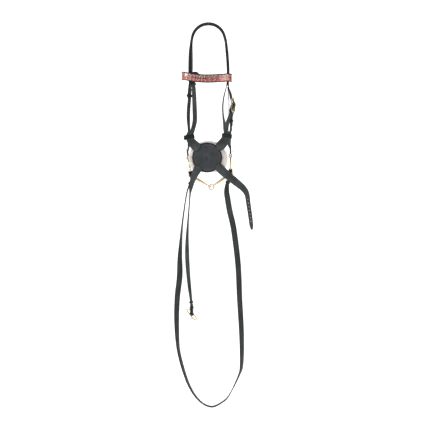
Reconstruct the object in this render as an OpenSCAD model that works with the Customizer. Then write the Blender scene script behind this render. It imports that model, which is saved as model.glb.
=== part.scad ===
// Riding bridle with a crossed noseband, jointed loose-ring bit and one looped rein.
// Millimetres, +Z up. The origin is the centre of the hanger that carries the crown arch,
// +X runs across the face and -Y is the front, where the nose disc and browband are.

/* [Leather] */
// Width of the crown strap
crown_w = 24; // [20:1:28]
// Thickness of the crown strap with its padding
crown_t = 4.6; // [4:0.1:5]
// Width of the cheek and noseband straps
cheek_w = 13; // [12:0.5:13.5]
// Thickness of a single strap
leather_t = 2.6; // [2.2:0.1:2.8]
// Width of the rein
rein_w = 19; // [17:0.5:20]
// Thickness of the rein
rein_t = 3.4; // [3:0.1:3.8]
// Height of the browband
brow_h = 27; // [24:1:30]

/* [Nose piece] */
// Radius of the round leather disc
disc_r = 47.5; // [46:0.5:51]
// Thickness of the disc
disc_t = 4; // [3:0.5:4.5]
// Radius of the sheepskin pad behind the disc
pad_r = 60; // [58:1:64]
// Thickness of the sheepskin pad
pad_t = 14; // [10:1:15]

/* [Metal] */
// Radius of the hanger under the crown arch
hanger_r = 50; // [49:0.5:50.5]
// Centre-line radius of a bit ring
ring_r = 29.5; // [29:0.5:30]
// Radius of the bit ring's wire
ring_wire = 3; // [2.6:0.1:3]
// Length of each half of the mouthpiece, ring hole to joint
cannon_l = 77.6; // [77:0.1:78]
// Length of a buckle frame
buckle_l = 48; // [46:1:50]
// Radius of a buckle's centre bar
bar_r = 1.8; // [1.6:0.1:1.9]

/* [Hidden] */
$fn = 48;

gap = 0.4;                              // clear space between neighbouring layers
seam = 0.6;                             // how much thinner a strap is past the crown
strap_t = 3.4;                          // noseband strap that lies on the hanger
crown_shift = strap_t / 2 + gap + crown_t / 2;
mid_r = hanger_r + strap_t / 2;         // middle of the noseband strap on the arch
arch_from = 15;                         // the arch's round part, in degrees from +X
arch_to = 170;
stud_r = 3;
rail = 3.6;                             // width of a buckle frame's rails
frame_t = 3;
frame_gap = 2.6;                        // room between a strap's edge and the frame
turn_in = bar_r + 0.5;                  // inside of a strap's turn round a buckle bar
turn_out = turn_in + leather_t;
lean = -7.6;                            // how far a sewn turn leans in behind its buckle
over_bar = turn_out + gap + leather_t / 2;
under_rail = -(frame_t / 2 + gap + leather_t / 2);
ring_turn_in = ring_wire + 1.5;         // inside of a strap's turn round a bit ring
ring_turn_out = ring_turn_in + leather_t;
hole_r = ring_wire + 1.4;               // hole in a cannon's ring end
boss_r = 8.8;
boss_w = 13;
eye_r = 8.4;                            // centre-line radius of the middle joint's eyes
eye_wire = 2.1;

ring_left_at = [-63, 30, -416];
ring_right_at = [73, 30, -409];
left_tilt = -8;                         // the left ring leans in at its foot
rein_spin = 138;                        // the rein's place round a ring, from the top
left_droop = 29.5;                      // each cannon's angle below level
right_droop = 35.3;
disc_at = [-4, -28, -388];
cheek_right_at = [80, -14, -214];
throat_at = [80, 12, -226];
chin_at = [-55, -20, -902];
chin_turn_angle = 60;
chin_tilt = -43;                         // the open buckle's lean out of its strap
throat_w = cheek_w - 2;
rein_end = rein_w - 3;                  // the rein narrows where it is turned round a ring
pad_wide = 1.13;                        // how much wider than tall the sheepskin is
foot = -18;                             // where a sewn turn ends below its bar
side_turn = -90;                        // how the throat buckle faces
cheek_turn = -112;                      // how the cheek buckle faces

// Strap routes: rows of x, y, z, turn of the width about Z, width.
left_leg = [[-50.7, 0, 10.4, 90, cheek_w], [-54, 0, -11, 88, cheek_w], [-55.2, 0, -48, 66, cheek_w],
    [-55.6, 0, -88, 60, cheek_w], [-55.6, 0, -120, 62, cheek_w], [-50, -2.4, -147, 14, cheek_w]];
left_noseband = [[-47.5, -4, -178, 8, cheek_w + 1], [-45.5, -7, -228, 8, cheek_w + 2],
    [-45, -11, -266, 12, cheek_w + 2], [-52, -17, -298, 10, cheek_w + 1],
    [-59, -20, -320, 6, cheek_w]];
right_leg = [[49.6, 0, 14.8, -90, cheek_w], [54.6, 0, -6, -90, cheek_w], [58.6, 0, -44, -86, cheek_w],
    [61.6, 0, -88, -86, cheek_w], [62, 0, -120, -90, cheek_w], [60, 0, -148, -90, cheek_w]];
right_noseband = [[51, -2, -184, -82, cheek_w], [47, -6, -218, -78, cheek_w],
    [48, -10, -246, -74, cheek_w], [52, -15, -276, -56, cheek_w],
    [55, -18, -297, -26, cheek_w], [58, -20, -314, -10, cheek_w]];
left_billet = [[-59.4, 1.3, -138, 66, crown_w - 2], [-62.2, 3.6, -158, 57, cheek_w + 4],
    [-64.5, 5, -182, 46, cheek_w], [-65.5, 6, -196, 40, cheek_w]];
right_cheek_billet = [[65.6, -5.2, -138, -90, cheek_w], [67, -10, -156, -90, cheek_w]];
right_throat_billet = [[65.6, 6, -138, -90, cheek_w - 3], [67, 10, -160, -90, cheek_w - 2]];
// A billet's way through its buckle, in the buckle's own frame with the bar at the origin.
billet_way = [[40, -8], [30, -5.6], [24, -4.2], [19.4, -3.4], [12, 2.2], [3.4, over_bar],
    [-3.4, over_bar], [-12, 2.6], [-19.6, -3], [-25, under_rail], [-40, under_rail],
    [-72, under_rail]];
cheek_left_rows = [[-59.4, 1.6, -158, 56, cheek_w], [-61.9, 2.4, -182, 46, cheek_w],
    [-63.1, 3.1, -196, 40, cheek_w],
    [-65.8, 4.4, -226, 28, cheek_w], [-66.6, 6, -256, 34, cheek_w], [-64.5, 9, -292, 56, cheek_w],
    [-62.5, 17, -322, 30, cheek_w], [-65.6, 26, -344, 62, cheek_w], [-67.1, 30, -362, 90, cheek_w]];
cheek_right_rows = [[73, -11.2, -232.4, cheek_turn, cheek_w], [73, -11.2, -262, cheek_turn, cheek_w],
    [73, -11, -289, -108, cheek_w], [71, -1, -315, -126, cheek_w], [68.5, 17, -337, -142, cheek_w],
    [71.6, 27.4, -350, -112, cheek_w], [73, 30, -360, -90, cheek_w]];
throat_rows = [[72.4, 12, -244.4, -90, throat_w], [72.6, 12, -276, -90, throat_w],
    [72.8, 12, -298, -90, throat_w], [69, 12, -308.6, -90, throat_w],
    [65, 12, -300, -90, throat_w], [66, 12, -278, -90, throat_w],
    [67.2, 12.6, -244, -90, throat_w], [67.8, 13, -204, -90, throat_w],
    [65, 11, -168, -90, throat_w - 1], [63.4, 9.6, -152, -90, throat_w - 2]];
arm_left_rows = [[-31, -33, -361, 0, 29], [-44, -33, -349, 0, 31], [-56, -30, -335, 2, 28],
    [-63, -26, -320, 8, 22], [-62, -23, -306, 12, 16]];
arm_right_rows = [[29, -33, -359, 0, 30], [42, -33, -347, 0, 32], [53.5, -30, -332, -4, 30],
    [60, -26, -316, -10, 24], [60, -24.5, -302, -18, 16]];
tab_rows = [[73, -26.5, -243, -15, 11], [68, -27, -259, -10, 12.5], [61, -28, -279, -6, 14],
    [55.5, -29.8, -303, -4, 15]];
lower_strap_rows = [[-28, -33, -416, 0, 27], [-40, -33, -434, 0, 26], [-49, -32, -455, 0, 20],
    [-56, -30, -480, 20, 15], [-60, -28, -510, 78, 14], [-65, -26, -575, 80, 14],
    [-69.6, -24, -650, 52, 14], [-69.6, -22, -716, 10, 14], [-65.6, -21, -777, 30, 14],
    [-61, -20, -822, 46, 14], [-58.2, -20, -844, 57, 14], [-56.4, -20, -862, 60, 14],
    [-55.1, -20, -876.3, 60, 14]];
lower_billet_rows = [[28, -33, -413, 0, 27], [44, -33, -430, 0, 28], [66, -33, -449, 0, 26],
    [92, -32, -470, 0, 24], [114, -30, -489, 4, 21], [126, -28, -508, 12, 17],
    [131, -26, -540, 16, 15], [137, -24, -580, 14, 14], [141, -23, -612, 12, 13]];
billet_point = [[141, -23, -612, 12, 13], [142, -23, -619, 12, 9], [142.5, -23, -625, 12, 2]];
rein_rows = [[-57.7, -4.3, -453.7, 90, rein_end], [-57.7, -7.4, -457.8, 88, rein_end],
    [-61, -10, -472, 84, rein_end], [-71, -9, -503, 88, rein_w], [-81, -6, -565, 88, rein_w],
    [-88, -4, -625, 79, rein_w],
    [-94, -3, -710, 46, rein_w], [-95, -2, -777, 6, rein_w], [-102, -2, -840, 22, rein_w],
    [-105, -2, -900, 32, rein_w], [-104, -2, -960, 46, rein_w], [-99, -2, -1020, 62, rein_w],
    [-84, -2, -1082, 66, rein_w], [-61, -2, -1144, 74, rein_w], [-28, -2, -1190, 86, rein_w],
    [10, -2, -1208, 90, rein_w], [45, -2, -1193, 90, rein_w], [68, -2, -1170, 86, rein_w],
    [100, -2, -1106, 72, rein_w], [109.4, -2, -1066, 54, rein_w], [109, -2, -965, 34, rein_w],
    [102.8, -2, -853, 22, rein_w], [97.4, -3, -738, 10, rein_w], [83.6, -4, -625, 4, rein_w],
    [70, -6, -563, 4, rein_w], [63, -8, -522, 10, rein_w], [59.8, -10, -496, 30, rein_w],
    [63.6, -10.4, -468, 62, rein_end], [72.6, -7.8, -451.4, 89, rein_end],
    [73, -4.8, -447.6, 90, rein_end]];
// Browband rows: x, y, z, unused turn, height.
brow_rows = [[-86, -3, -118.5, 0, brow_h], [-82, -14, -118.5, 0, brow_h], [-68, -21, -122, 0, brow_h],
    [-36, -28, -128, 0, brow_h], [0, -32, -130, 0, brow_h], [36, -28, -128, 0, brow_h],
    [62, -20, -125, 0, brow_h], [72, -12, -124.5, 0, brow_h], [75, -2, -124, 0, brow_h]];
loop_left_rows = [[-86, -1.6, -118, 0, 22], [-82, 9, -118, 0, 22], [-66, 18, -115, 0, 22],
    [-46, 14, -112, 0, 22], [-37, 0, -116, 0, 22], [-34, -14, -121, 0, 22],
    [-27, -23.6, -126, 0, 22], [-14, -26.6, -128, 0, 22]];
loop_right_rows = [[75, -1, -124, 0, 22], [74.5, 10, -123, 0, 22], [67, 16, -122, 0, 22],
    [57, 14, -122, 0, 22], [51, 2, -122, 0, 22], [48, -10, -123, 0, 22],
    [42, -22.2, -125, 0, 22], [31, -25.4, -126, 0, 22]];

function unit(v) = v / norm(v);
function place(row) = [row[0], row[1], row[2]];
function spline(a, b, c, d, t) =
    (2 * b + (c - a) * t + (2 * a - 5 * b + 4 * c - d) * t * t + (3 * b - a - 3 * c + d) * t * t * t) / 2;
function fair(rows, n) = let (last = len(rows) - 1) [
    for (i = [0:last - 1]) for (k = [0:n - 1])
        spline(rows[max(i - 1, 0)], rows[i], rows[i + 1], rows[min(i + 2, last)], k / n),
    rows[last]];
function heading(rows, i) =
    unit(place(rows[min(i + 1, len(rows) - 1)]) - place(rows[max(i - 1, 0)]));
function section(rows, i, thick, shift, upright) =
    let (t = heading(rows, i),
         hint = upright ? [0, 0, 1] : [cos(rows[i][3]), sin(rows[i][3]), 0],
         w = unit(hint - (hint * t) * t), n = cross(t, w))
    [for (s = [[-1, -1], [1, -1], [1, 1], [-1, 1]])
        place(rows[i]) + s[0] * rows[i][4] / 2 * w + (shift + s[1] * thick / 2) * n];
function sized(rows, w) = [for (r = rows) [r[0], r[1], r[2], r[3], w]];
function from_way(at, turn, w) = [for (p = billet_way)
    [at[0] - p[1] * sin(turn), at[1] + p[1] * cos(turn), at[2] + p[0], turn, w]];

// A flat strap swept along rows of x, y, z, turn, width.
module strap(rows, thick, shift = 0, upright = false, smooth = 4) {
    fine = fair(rows, smooth);
    n = len(fine);
    polyhedron(
        points = [for (i = [0:n - 1]) each section(fine, i, thick, shift, upright)],
        faces = concat([[0, 1, 2, 3]],
            [for (i = [0:n - 2]) for (j = [0:3])
                let (a = 4 * i + j, b = 4 * i + (j + 1) % 4)
                    each [[a, a + 4, b + 4], [a, b + 4, b]]],
            [[for (j = [3:-1:0]) 4 * (n - 1) + j]]));
}

// The round part of a strap over the hanger, between two radii.
module arch(from_r, to_r, w) {
    rotate([90, 0, 0])
        rotate_extrude(angle = arch_to - arch_from, start = arch_from, $fn = 96)
            translate([from_r, -w / 2]) square([to_r - from_r, w]);
}

module oblong(w, l, r) {
    square([w - 2 * r, l], center = true);
    square([w, l - 2 * r], center = true);
    for (x = [-1, 1], y = [-1, 1]) translate([x * (w / 2 - r), y * (l / 2 - r)]) circle(r = r);
}

// Buckle frame with a bar across its middle; the bar lies on X at the origin.
module buckle_frame(w) {
    inner = w + frame_gap;
    rotate([90, 0, 0]) translate([0, 0, -frame_t / 2]) linear_extrude(frame_t) difference() {
        oblong(inner + 2 * rail, buckle_l, 7);
        oblong(inner, buckle_l - 2 * rail, 4);
    }
    rotate([0, 90, 0]) cylinder(r = bar_r, h = inner + rail, center = true);
}

// Tongue with its eye on the bar, pointing up.
module buckle_tongue(l) {
    eye_in = bar_r + 0.08;
    rotate([0, 90, 0]) difference() {
        cylinder(r = eye_in + 1.1, h = 3.6, center = true);
        cylinder(r = eye_in, h = 5, center = true);
    }
    translate([0, 0, eye_in + 0.6]) cylinder(r = 1.2, h = l - eye_in - 0.6);
}

// Leather turned round a bar or ring: a sewn wedge from the bore out to its foot.
module leather_turn(w, inside, outside, reach, side, sewn) {
    rotate([90, 0, 90]) translate([0, 0, -w / 2]) linear_extrude(w) difference() {
        union() {
            circle(r = outside);
            polygon([[-outside, 0], [outside, 0], [side + sewn / 2, reach], [side - sewn / 2, reach]]);
        }
        circle(r = inside);
    }
}

// Stands children on a strap's route at one of its rows, X across it and Z along it.
module on_strap(rows, row, shift = 0, upright = false) {
    fine = fair(rows, 4);
    i = 4 * row;
    corners = section(fine, i, 2, shift, upright);
    w = unit(corners[1] - corners[0]);
    n = unit(corners[3] - corners[0]);
    t = cross(w, n);
    p = (corners[0] + corners[2]) / 2;
    multmatrix([[w[0], n[0], t[0], p[0]], [w[1], n[1], t[1], p[1]], [w[2], n[2], t[2], p[2]]])
        children();
}

module keeper_loop(w, deep, tall) {
    wall = 1.6;
    difference() {
        cube([w + 2 * wall, deep + 2 * wall, tall], center = true);
        cube([w, deep, tall + 2], center = true);
    }
}

module at_buckle(at, turn) { translate(at) rotate([0, 0, turn]) children(); }

module on_ring(at, tilt, spin) {
    translate(at) rotate([0, tilt, 0]) rotate([spin, 0, 0]) translate([0, 0, ring_r]) children();
}

// The slot that a tongue passes through, in a billet or a turn.
module tongue_slot(low, high) {
    translate([0, 0, (low + high) / 2]) cube([5, 30, high - low], center = true);
}

// A billet from the crown strap down through its buckle, with the tongue's slot.
module billet(start, at, turn, w) {
    difference() {
        strap(concat(start, from_way(at, turn, w)), leather_t, smooth = 4);
        at_buckle(at, turn) tongue_slot(1, 20);
    }
}

module headpiece() color("#2b2e2e") {
    arch(mid_r + crown_shift - crown_t / 2, mid_r + crown_shift + crown_t / 2, crown_w + 1);
    strap(sized(left_leg, crown_w), crown_t - seam, -crown_shift);
    strap(sized(right_leg, crown_w), crown_t - seam, -crown_shift);
    strap(left_billet, leather_t);
    billet(right_cheek_billet, cheek_right_at, cheek_turn, cheek_w);
    billet(right_throat_billet, throat_at, side_turn, throat_w);
}

module noseband_headstrap() color("#35393a") {
    arch(hanger_r, hanger_r + strap_t, cheek_w + 1);
    strap(concat(left_leg, left_noseband), strap_t - seam);
    strap(concat(right_leg, right_noseband), strap_t - seam);
}

module browband_band() color("#1f2122") strap(brow_rows, 3, upright = true);
module browband_loop_left() color("#1f2122") strap(loop_left_rows, 2.4, upright = true);
module browband_loop_right() color("#1f2122") strap(loop_right_rows, 2.4, upright = true);
module browband_channel() color("#d9c9a8") {
    for (side = [-1, 1])
        translate([0, 0, side * (brow_h / 2 - 2)]) strap(sized(brow_rows, 1.6), 1.2, 2.4, true);
}
module browband_stones() color("#b35555") {
    for (row = [-1, 0, 1])
        translate([0, 0, row * 6.6]) strap(sized(brow_rows, 5.6), 2, 2.8, true);
}

// The sewn turn of a strap that comes up to a buckle from below.
module hanging_turn(at, turn, w) {
    at_buckle(at, turn) difference() {
        rotate([180, 0, 0]) leather_turn(w, turn_in, turn_out, -foot, -lean, 2 * leather_t);
        tongue_slot(-3, 8);
    }
}

module cheekpiece_left() color("#26292a") {
    strap(cheek_left_rows, leather_t);
    on_ring(ring_left_at, left_tilt, 0) rotate([0, 0, 90])
        leather_turn(cheek_w, ring_turn_in, ring_turn_out, 26, 0, 2 * leather_t);
}

module cheekpiece_right() color("#26292a") {
    hanging_turn(cheek_right_at, cheek_turn, cheek_w);
    strap(cheek_right_rows, leather_t);
    on_ring(ring_right_at, 0, 0) rotate([0, 0, 90])
        leather_turn(cheek_w, ring_turn_in, ring_turn_out, 26, 0, 2 * leather_t);
}

module cheek_buckle() color("#c9b48a")
    at_buckle(cheek_right_at, cheek_turn) buckle_frame(cheek_w);
module cheek_tongue() color("#c9b48a")
    at_buckle(cheek_right_at, cheek_turn) rotate([-8, 0, 0]) buckle_tongue(25);

// A leather loop round a strap and the billet's tail below a buckle.
module tail_keeper(at, turn, w, down, tall) {
    at_buckle(at, turn) translate([0, (under_rail + lean) / 2, down])
        keeper_loop(w + 1, under_rail - lean + leather_t + 2 * gap, tall);
}
module cheek_keeper_left() color("#1f2122")
    on_strap(cheek_left_rows, 1, -1.7) keeper_loop(cheek_w + 2.6, 8, 8);
module cheek_keeper_right() color("#1f2122") tail_keeper(cheek_right_at, cheek_turn, cheek_w, -33, 8);
module cheek_slider() color("#1f2122") tail_keeper(cheek_right_at, cheek_turn, cheek_w, -52, 8);

// Round-headed studs that close the turns on the bit rings.
module stud() {
    cylinder(r = stud_r, h = 1.6);
    translate([0, 0, 1.6]) cylinder(r1 = stud_r, r2 = stud_r - 1.4, h = 1);
}
module hook_studs() color("#c9b48a") {
    for (end = [[ring_left_at, left_tilt, 0, -5.5], [ring_right_at, 0, 0, 5.5],
                [ring_left_at, left_tilt, rein_spin, -5], [ring_right_at, 0, rein_spin, 5]])
        on_ring(end[0], end[1], end[2])
            translate([end[3], 0, 14]) rotate([0, sign(end[3]) * 90, 0]) stud();
}

module throatlash() color("#26292a") {
    hanging_turn(throat_at, side_turn, throat_w);
    strap(throat_rows, leather_t, smooth = 5);
}
module throat_buckle() color("#c9b48a") at_buckle(throat_at, side_turn) buckle_frame(throat_w);
module throat_tongue() color("#c9b48a")
    at_buckle(throat_at, side_turn) rotate([-8, 0, 0]) buckle_tongue(25);
module throat_keeper() color("#1f2122") tail_keeper(throat_at, side_turn, throat_w, -33, 7);

module nose_disc() color("#232627")
    translate(disc_at) rotate([90, 0, 0]) cylinder(r = disc_r - 1, h = disc_t, center = true, $fn = 96);
module nose_disc_rim() color("#1b1d1e")
    translate(disc_at) rotate([90, 0, 0]) rotate_extrude($fn = 96)
        translate([disc_r - 1, 0]) difference() {
            circle(r = 2.6, $fn = 24);
            translate([-4, -disc_t / 2]) square([4, disc_t]);
        }
module nose_pad() color("#ece2dc")
    intersection() {
        translate([disc_at[0] + 3, disc_at[1] + disc_t / 2 + 0.7, disc_at[2] - 2])
            scale([pad_wide, 1, 1]) rotate([-90, 0, 0]) rotate_extrude($fn = 96) hull() {
                square([pad_r, 5]);
                square([pad_r - 7, pad_t]);
            }
        translate([-100, -60, disc_at[2] - disc_r + 1]) cube([200, 100, 200]);
    }

module noseband_arm_left() color("#2a2d2e") strap(arm_left_rows, leather_t + 0.4, smooth = 3);
module noseband_arm_right() color("#2a2d2e") strap(arm_right_rows, leather_t + 0.4, smooth = 3);
// Leather loops that join the arms to the cheek straps of the noseband.
module noseband_loop_left() color("#1b1d1e")
    on_strap(arm_left_rows, 3, 3.6) keeper_loop(31.5, 12.4, 12);
module noseband_loop_right() color("#1b1d1e")
    on_strap(arm_right_rows, 3, 3.2) keeper_loop(29, 12.4, 12);

// The short strap that crosses from the cheek's keepers to the right arm.
module noseband_tab() color("#232627") strap(tab_rows, leather_t);

module lower_strap() color("#2b2e2e") strap(lower_strap_rows, leather_t);
module lower_billet() color("#2b2e2e") difference() {
    union() {
        strap(lower_billet_rows, leather_t);
        strap(billet_point, leather_t);
    }
    for (k = [0:5]) translate([130 + 2 * k, -26, -535 - 12 * k])
        rotate([90, 0, 0]) cylinder(r = 1.5, h = 20, center = true, $fn = 16);
}
module chin_turn() color("#1f2122") at_buckle(chin_at, chin_turn_angle) difference() {
    leather_turn(14, turn_in, turn_out, 25, 0, 2 * leather_t);
    tongue_slot(-8, 5);
}
module chin_buckle() color("#c9b48a")
    at_buckle(chin_at, chin_turn_angle) rotate([chin_tilt, 0, 0]) buckle_frame(14);
module chin_tongue() color("#c9b48a")
    at_buckle(chin_at, chin_turn_angle) rotate([180, 0, 0]) buckle_tongue(25.5);
module chin_keeper() color("#1f2122")
    at_buckle(chin_at, chin_turn_angle) translate([0, 0, 22]) keeper_loop(15, 6.2, 4);
module chin_slider() color("#1f2122")
    on_strap(lower_strap_rows, 11) keeper_loop(15, 4.2, 6);

module bit_ring(at, tilt) color("#c9b48a")
    translate(at) rotate([0, tilt, 0]) rotate([0, 90, 0])
        rotate_extrude($fn = 96) translate([ring_r, 0]) circle(r = ring_wire, $fn = 24);
module bit_ring_left() bit_ring(ring_left_at, left_tilt);
module bit_ring_right() bit_ring(ring_right_at, 0);

// Half of the mouthpiece along +X from its ring hole, which lies on Y.
module cannon(eye_at, flat_eye) {
    neck = eye_at - eye_r;
    difference() {
        union() {
            rotate([90, 0, 0]) cylinder(r = boss_r, h = boss_w, center = true);
            translate([5, 0, 0]) rotate([0, 90, 0]) cylinder(r1 = 6.4, r2 = 3.2, h = neck - 5);
        }
        rotate([90, 0, 0]) cylinder(r = hole_r, h = boss_w + 4, center = true);
        translate([-boss_r, -boss_w / 2 - 8, -boss_r]) cube([2 * boss_r, 8, 2 * boss_r]);
        translate([-boss_r, boss_w / 2, -boss_r]) cube([2 * boss_r, 8, 2 * boss_r]);
    }
    translate([eye_at, 0, 0]) rotate([flat_eye, 0, 0])
        rotate_extrude(angle = 360) translate([eye_r, 0]) circle(r = eye_wire, $fn = 20);
}
module cannon_left() color("#c9b48a")
    on_ring(ring_left_at, left_tilt, 180) rotate([180, left_tilt, 0]) rotate([0, left_droop, 0])
        cannon(cannon_l - eye_r, 0);
module cannon_right() color("#c9b48a")
    on_ring(ring_right_at, 0, 180) rotate([180, 0, 0]) rotate([0, 180 - right_droop, 0])
        cannon(cannon_l, 90);

module rein() color("#2b2e2e") strap(rein_rows, rein_t, smooth = 3);
module rein_turn(at, tilt) color("#1f2122")
    on_ring(at, tilt, rein_spin) rotate([0, 0, 90])
        leather_turn(rein_end, ring_turn_in, ring_turn_out, 21, 0, 2 * leather_t);
module rein_turn_left() rein_turn(ring_left_at, left_tilt);
module rein_turn_right() rein_turn(ring_right_at, 0);
module rein_keepers() color("#1b1d1e")
    for (row = [2, len(rein_rows) - 3])
        on_strap(rein_rows, row) keeper_loop(rein_end + 1.4, rein_t + 2.6, 8);

headpiece();
noseband_headstrap();
browband_band();
browband_loop_left();
browband_loop_right();
browband_channel();
browband_stones();
cheekpiece_left();
cheekpiece_right();
cheek_buckle();
cheek_tongue();
cheek_keeper_left();
cheek_keeper_right();
cheek_slider();
hook_studs();
throatlash();
throat_buckle();
throat_tongue();
throat_keeper();
nose_disc();
nose_disc_rim();
nose_pad();
noseband_arm_left();
noseband_arm_right();
noseband_loop_left();
noseband_loop_right();
noseband_tab();
lower_strap();
lower_billet();
chin_turn();
chin_buckle();
chin_tongue();
chin_keeper();
chin_slider();
bit_ring_left();
bit_ring_right();
cannon_left();
cannon_right();
rein();
rein_turn_left();
rein_turn_right();
rein_keepers();
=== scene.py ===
"""Riding bridle with a crossed noseband, dressed over its packed CAD frame.

Lengths in the shapes below are millimetres in the CAD's own frame, where the crown's hanger is the
origin, +X runs across the face, -Y is the front and +Z is up. Meshes are written in metres.
"""

import logging
import math
from dataclasses import dataclass, replace
from enum import Enum
from typing import Callable, Iterable, Sequence

import bmesh
import bpy
from mathutils import Matrix, Vector


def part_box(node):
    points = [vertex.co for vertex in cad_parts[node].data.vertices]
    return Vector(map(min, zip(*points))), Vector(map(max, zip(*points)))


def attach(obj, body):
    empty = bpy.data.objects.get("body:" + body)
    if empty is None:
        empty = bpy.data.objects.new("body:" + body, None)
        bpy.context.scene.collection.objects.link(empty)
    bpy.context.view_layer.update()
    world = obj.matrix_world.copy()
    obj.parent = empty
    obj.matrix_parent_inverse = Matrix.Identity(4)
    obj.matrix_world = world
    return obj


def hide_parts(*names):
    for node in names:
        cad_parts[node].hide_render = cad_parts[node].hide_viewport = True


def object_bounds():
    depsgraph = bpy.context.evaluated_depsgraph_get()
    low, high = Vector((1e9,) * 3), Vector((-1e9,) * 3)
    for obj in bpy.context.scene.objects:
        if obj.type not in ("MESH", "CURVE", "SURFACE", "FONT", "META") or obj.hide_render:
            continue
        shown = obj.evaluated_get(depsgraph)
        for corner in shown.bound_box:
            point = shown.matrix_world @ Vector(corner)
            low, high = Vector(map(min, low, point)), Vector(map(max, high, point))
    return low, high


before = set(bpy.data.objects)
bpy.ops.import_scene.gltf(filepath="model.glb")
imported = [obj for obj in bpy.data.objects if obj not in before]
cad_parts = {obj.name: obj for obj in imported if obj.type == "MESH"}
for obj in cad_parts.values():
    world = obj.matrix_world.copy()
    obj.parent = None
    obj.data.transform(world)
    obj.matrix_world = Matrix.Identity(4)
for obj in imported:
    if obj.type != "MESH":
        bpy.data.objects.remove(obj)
cad_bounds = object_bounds()

log = logging.getLogger("bridle")
MM = 0.001

Row = tuple[float, float, float, float, float]
Piece = bpy.types.Object
Material = bpy.types.Material

# Sizes shared by the straps and their fittings.
CHEEK_W = 13.0
THROAT_W = CHEEK_W - 2
CROWN_W = 24.0
LEATHER_T = 2.6
STRAP_T = 3.4
CROWN_T = 4.6
REIN_W = 19.0
REIN_END = 16.0
REIN_T = 3.4
GAP = 0.4
HANGER_R = 50.0
BAR_R = 1.8
BUCKLE_L = 48.0
RAIL = 3.6
FRAME_T = 3.0
RING_R = 29.5
RING_WIRE = 3.0
BAR_BORE = BAR_R + 0.5
RING_BORE = RING_WIRE + 1.0
OVER_BAR = BAR_BORE + LEATHER_T + GAP + LEATHER_T / 2
UNDER_RAIL = -(FRAME_T / 2 + GAP + LEATHER_T / 2)
LEAN = -7.6
SIDE_TURN = -90.0
CHEEK_TURN = -112.0
REIN_SPIN = 138.0
LEFT_TILT = -8.0


class Face(Enum):
    """Which faces of a strap take stitches."""

    OUTER = (1,)
    INNER = (-1,)
    BOTH = (1, -1)


class StoneKind(Enum):
    """The stones of the browband."""

    CLEAR = "clear"
    ROSE = "rose"
    RED = "red"


@dataclass(frozen=True)
class Station:
    """One cross-section of a strap, in millimetres."""

    at: Vector
    across: Vector
    out: Vector
    width: float
    thick: float

    def point(self, u: float, v: float) -> Vector:
        """Returns the point u across the strap and v out of it."""
        return self.at + self.across * u + self.out * v


def spline(a: float, b: float, c: float, d: float, t: float) -> float:
    """Returns the Catmull-Rom value between b and c.

    Args:
        a: Value before b.
        b: Value at t = 0.
        c: Value at t = 1.
        d: Value after c.
        t: Place between b and c.

    Returns:
        The faired value.
    """
    cubic = (3 * b - a - 3 * c + d) * t**3
    return (2 * b + (c - a) * t + (2 * a - 5 * b + 4 * c - d) * t**2 + cubic) / 2


def fair(rows: Sequence[Row], steps: int) -> list[Row]:
    """Returns the rows with steps - 1 faired rows between each pair."""
    last = len(rows) - 1
    faired = []
    for i in range(last):
        near = [rows[max(i - 1, 0)], rows[i], rows[i + 1], rows[min(i + 2, last)]]
        for k in range(steps):
            faired.append(tuple(spline(*(row[n] for row in near), k / steps) for n in range(5)))
    return faired + [rows[last]]


def stations(
    rows: Sequence[Row],
    thick: float,
    shift: float = 0.0,
    upright: bool = False,
    steps: int = 8,
) -> list[Station]:
    """Returns the cross-sections along a strap's route.

    Args:
        rows: Rows of x, y, z, turn of the width about Z, width.
        thick: Thickness of the leather.
        shift: How far the strap's middle stands off its route.
        upright: Whether the width stands up along Z instead.
        steps: Sections between two rows.

    Returns:
        One station for each section.
    """
    fine = fair(rows, steps)
    places = [Vector(row[:3]) for row in fine]
    found = []
    for i, row in enumerate(fine):
        along = (places[min(i + 1, len(fine) - 1)] - places[max(i - 1, 0)]).normalized()
        turn = math.radians(row[3])
        hint = Vector((0, 0, 1)) if upright else Vector((math.cos(turn), math.sin(turn), 0))
        across = (hint - along * hint.dot(along)).normalized()
        out = along.cross(across)
        found.append(Station(places[i] + out * shift, across, out, row[4], thick))
    return found


def turned(degrees: float, axis: str) -> Matrix:
    """Returns a rotation about one axis."""
    return Matrix.Rotation(math.radians(degrees), 4, axis)


def at_buckle(at: Sequence[float], turn: float) -> Matrix:
    """Returns a buckle's frame: its bar on X, outward on Y, up on Z."""
    return Matrix.Translation(at) @ turned(turn, "Z")


def on_ring(at: Sequence[float], tilt: float, spin: float) -> Matrix:
    """Returns a frame on a bit ring's wire, Z out of the ring and X along the ring's axis."""
    return Matrix.Translation(at) @ turned(tilt, "Y") @ turned(spin, "X") @ Matrix.Translation((0, 0, RING_R))


def on_strap(rows: Sequence[Row], row: int, shift: float = 0.0) -> Matrix:
    """Returns a frame on a strap's route at one row: X across, Y out, Z along."""
    here = stations(rows, 1, shift, steps=4)[4 * row]
    along = here.across.cross(here.out)
    frame_here = Matrix((here.across, here.out, along)).transposed().to_4x4()
    return Matrix.Translation(here.at) @ frame_here


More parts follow.
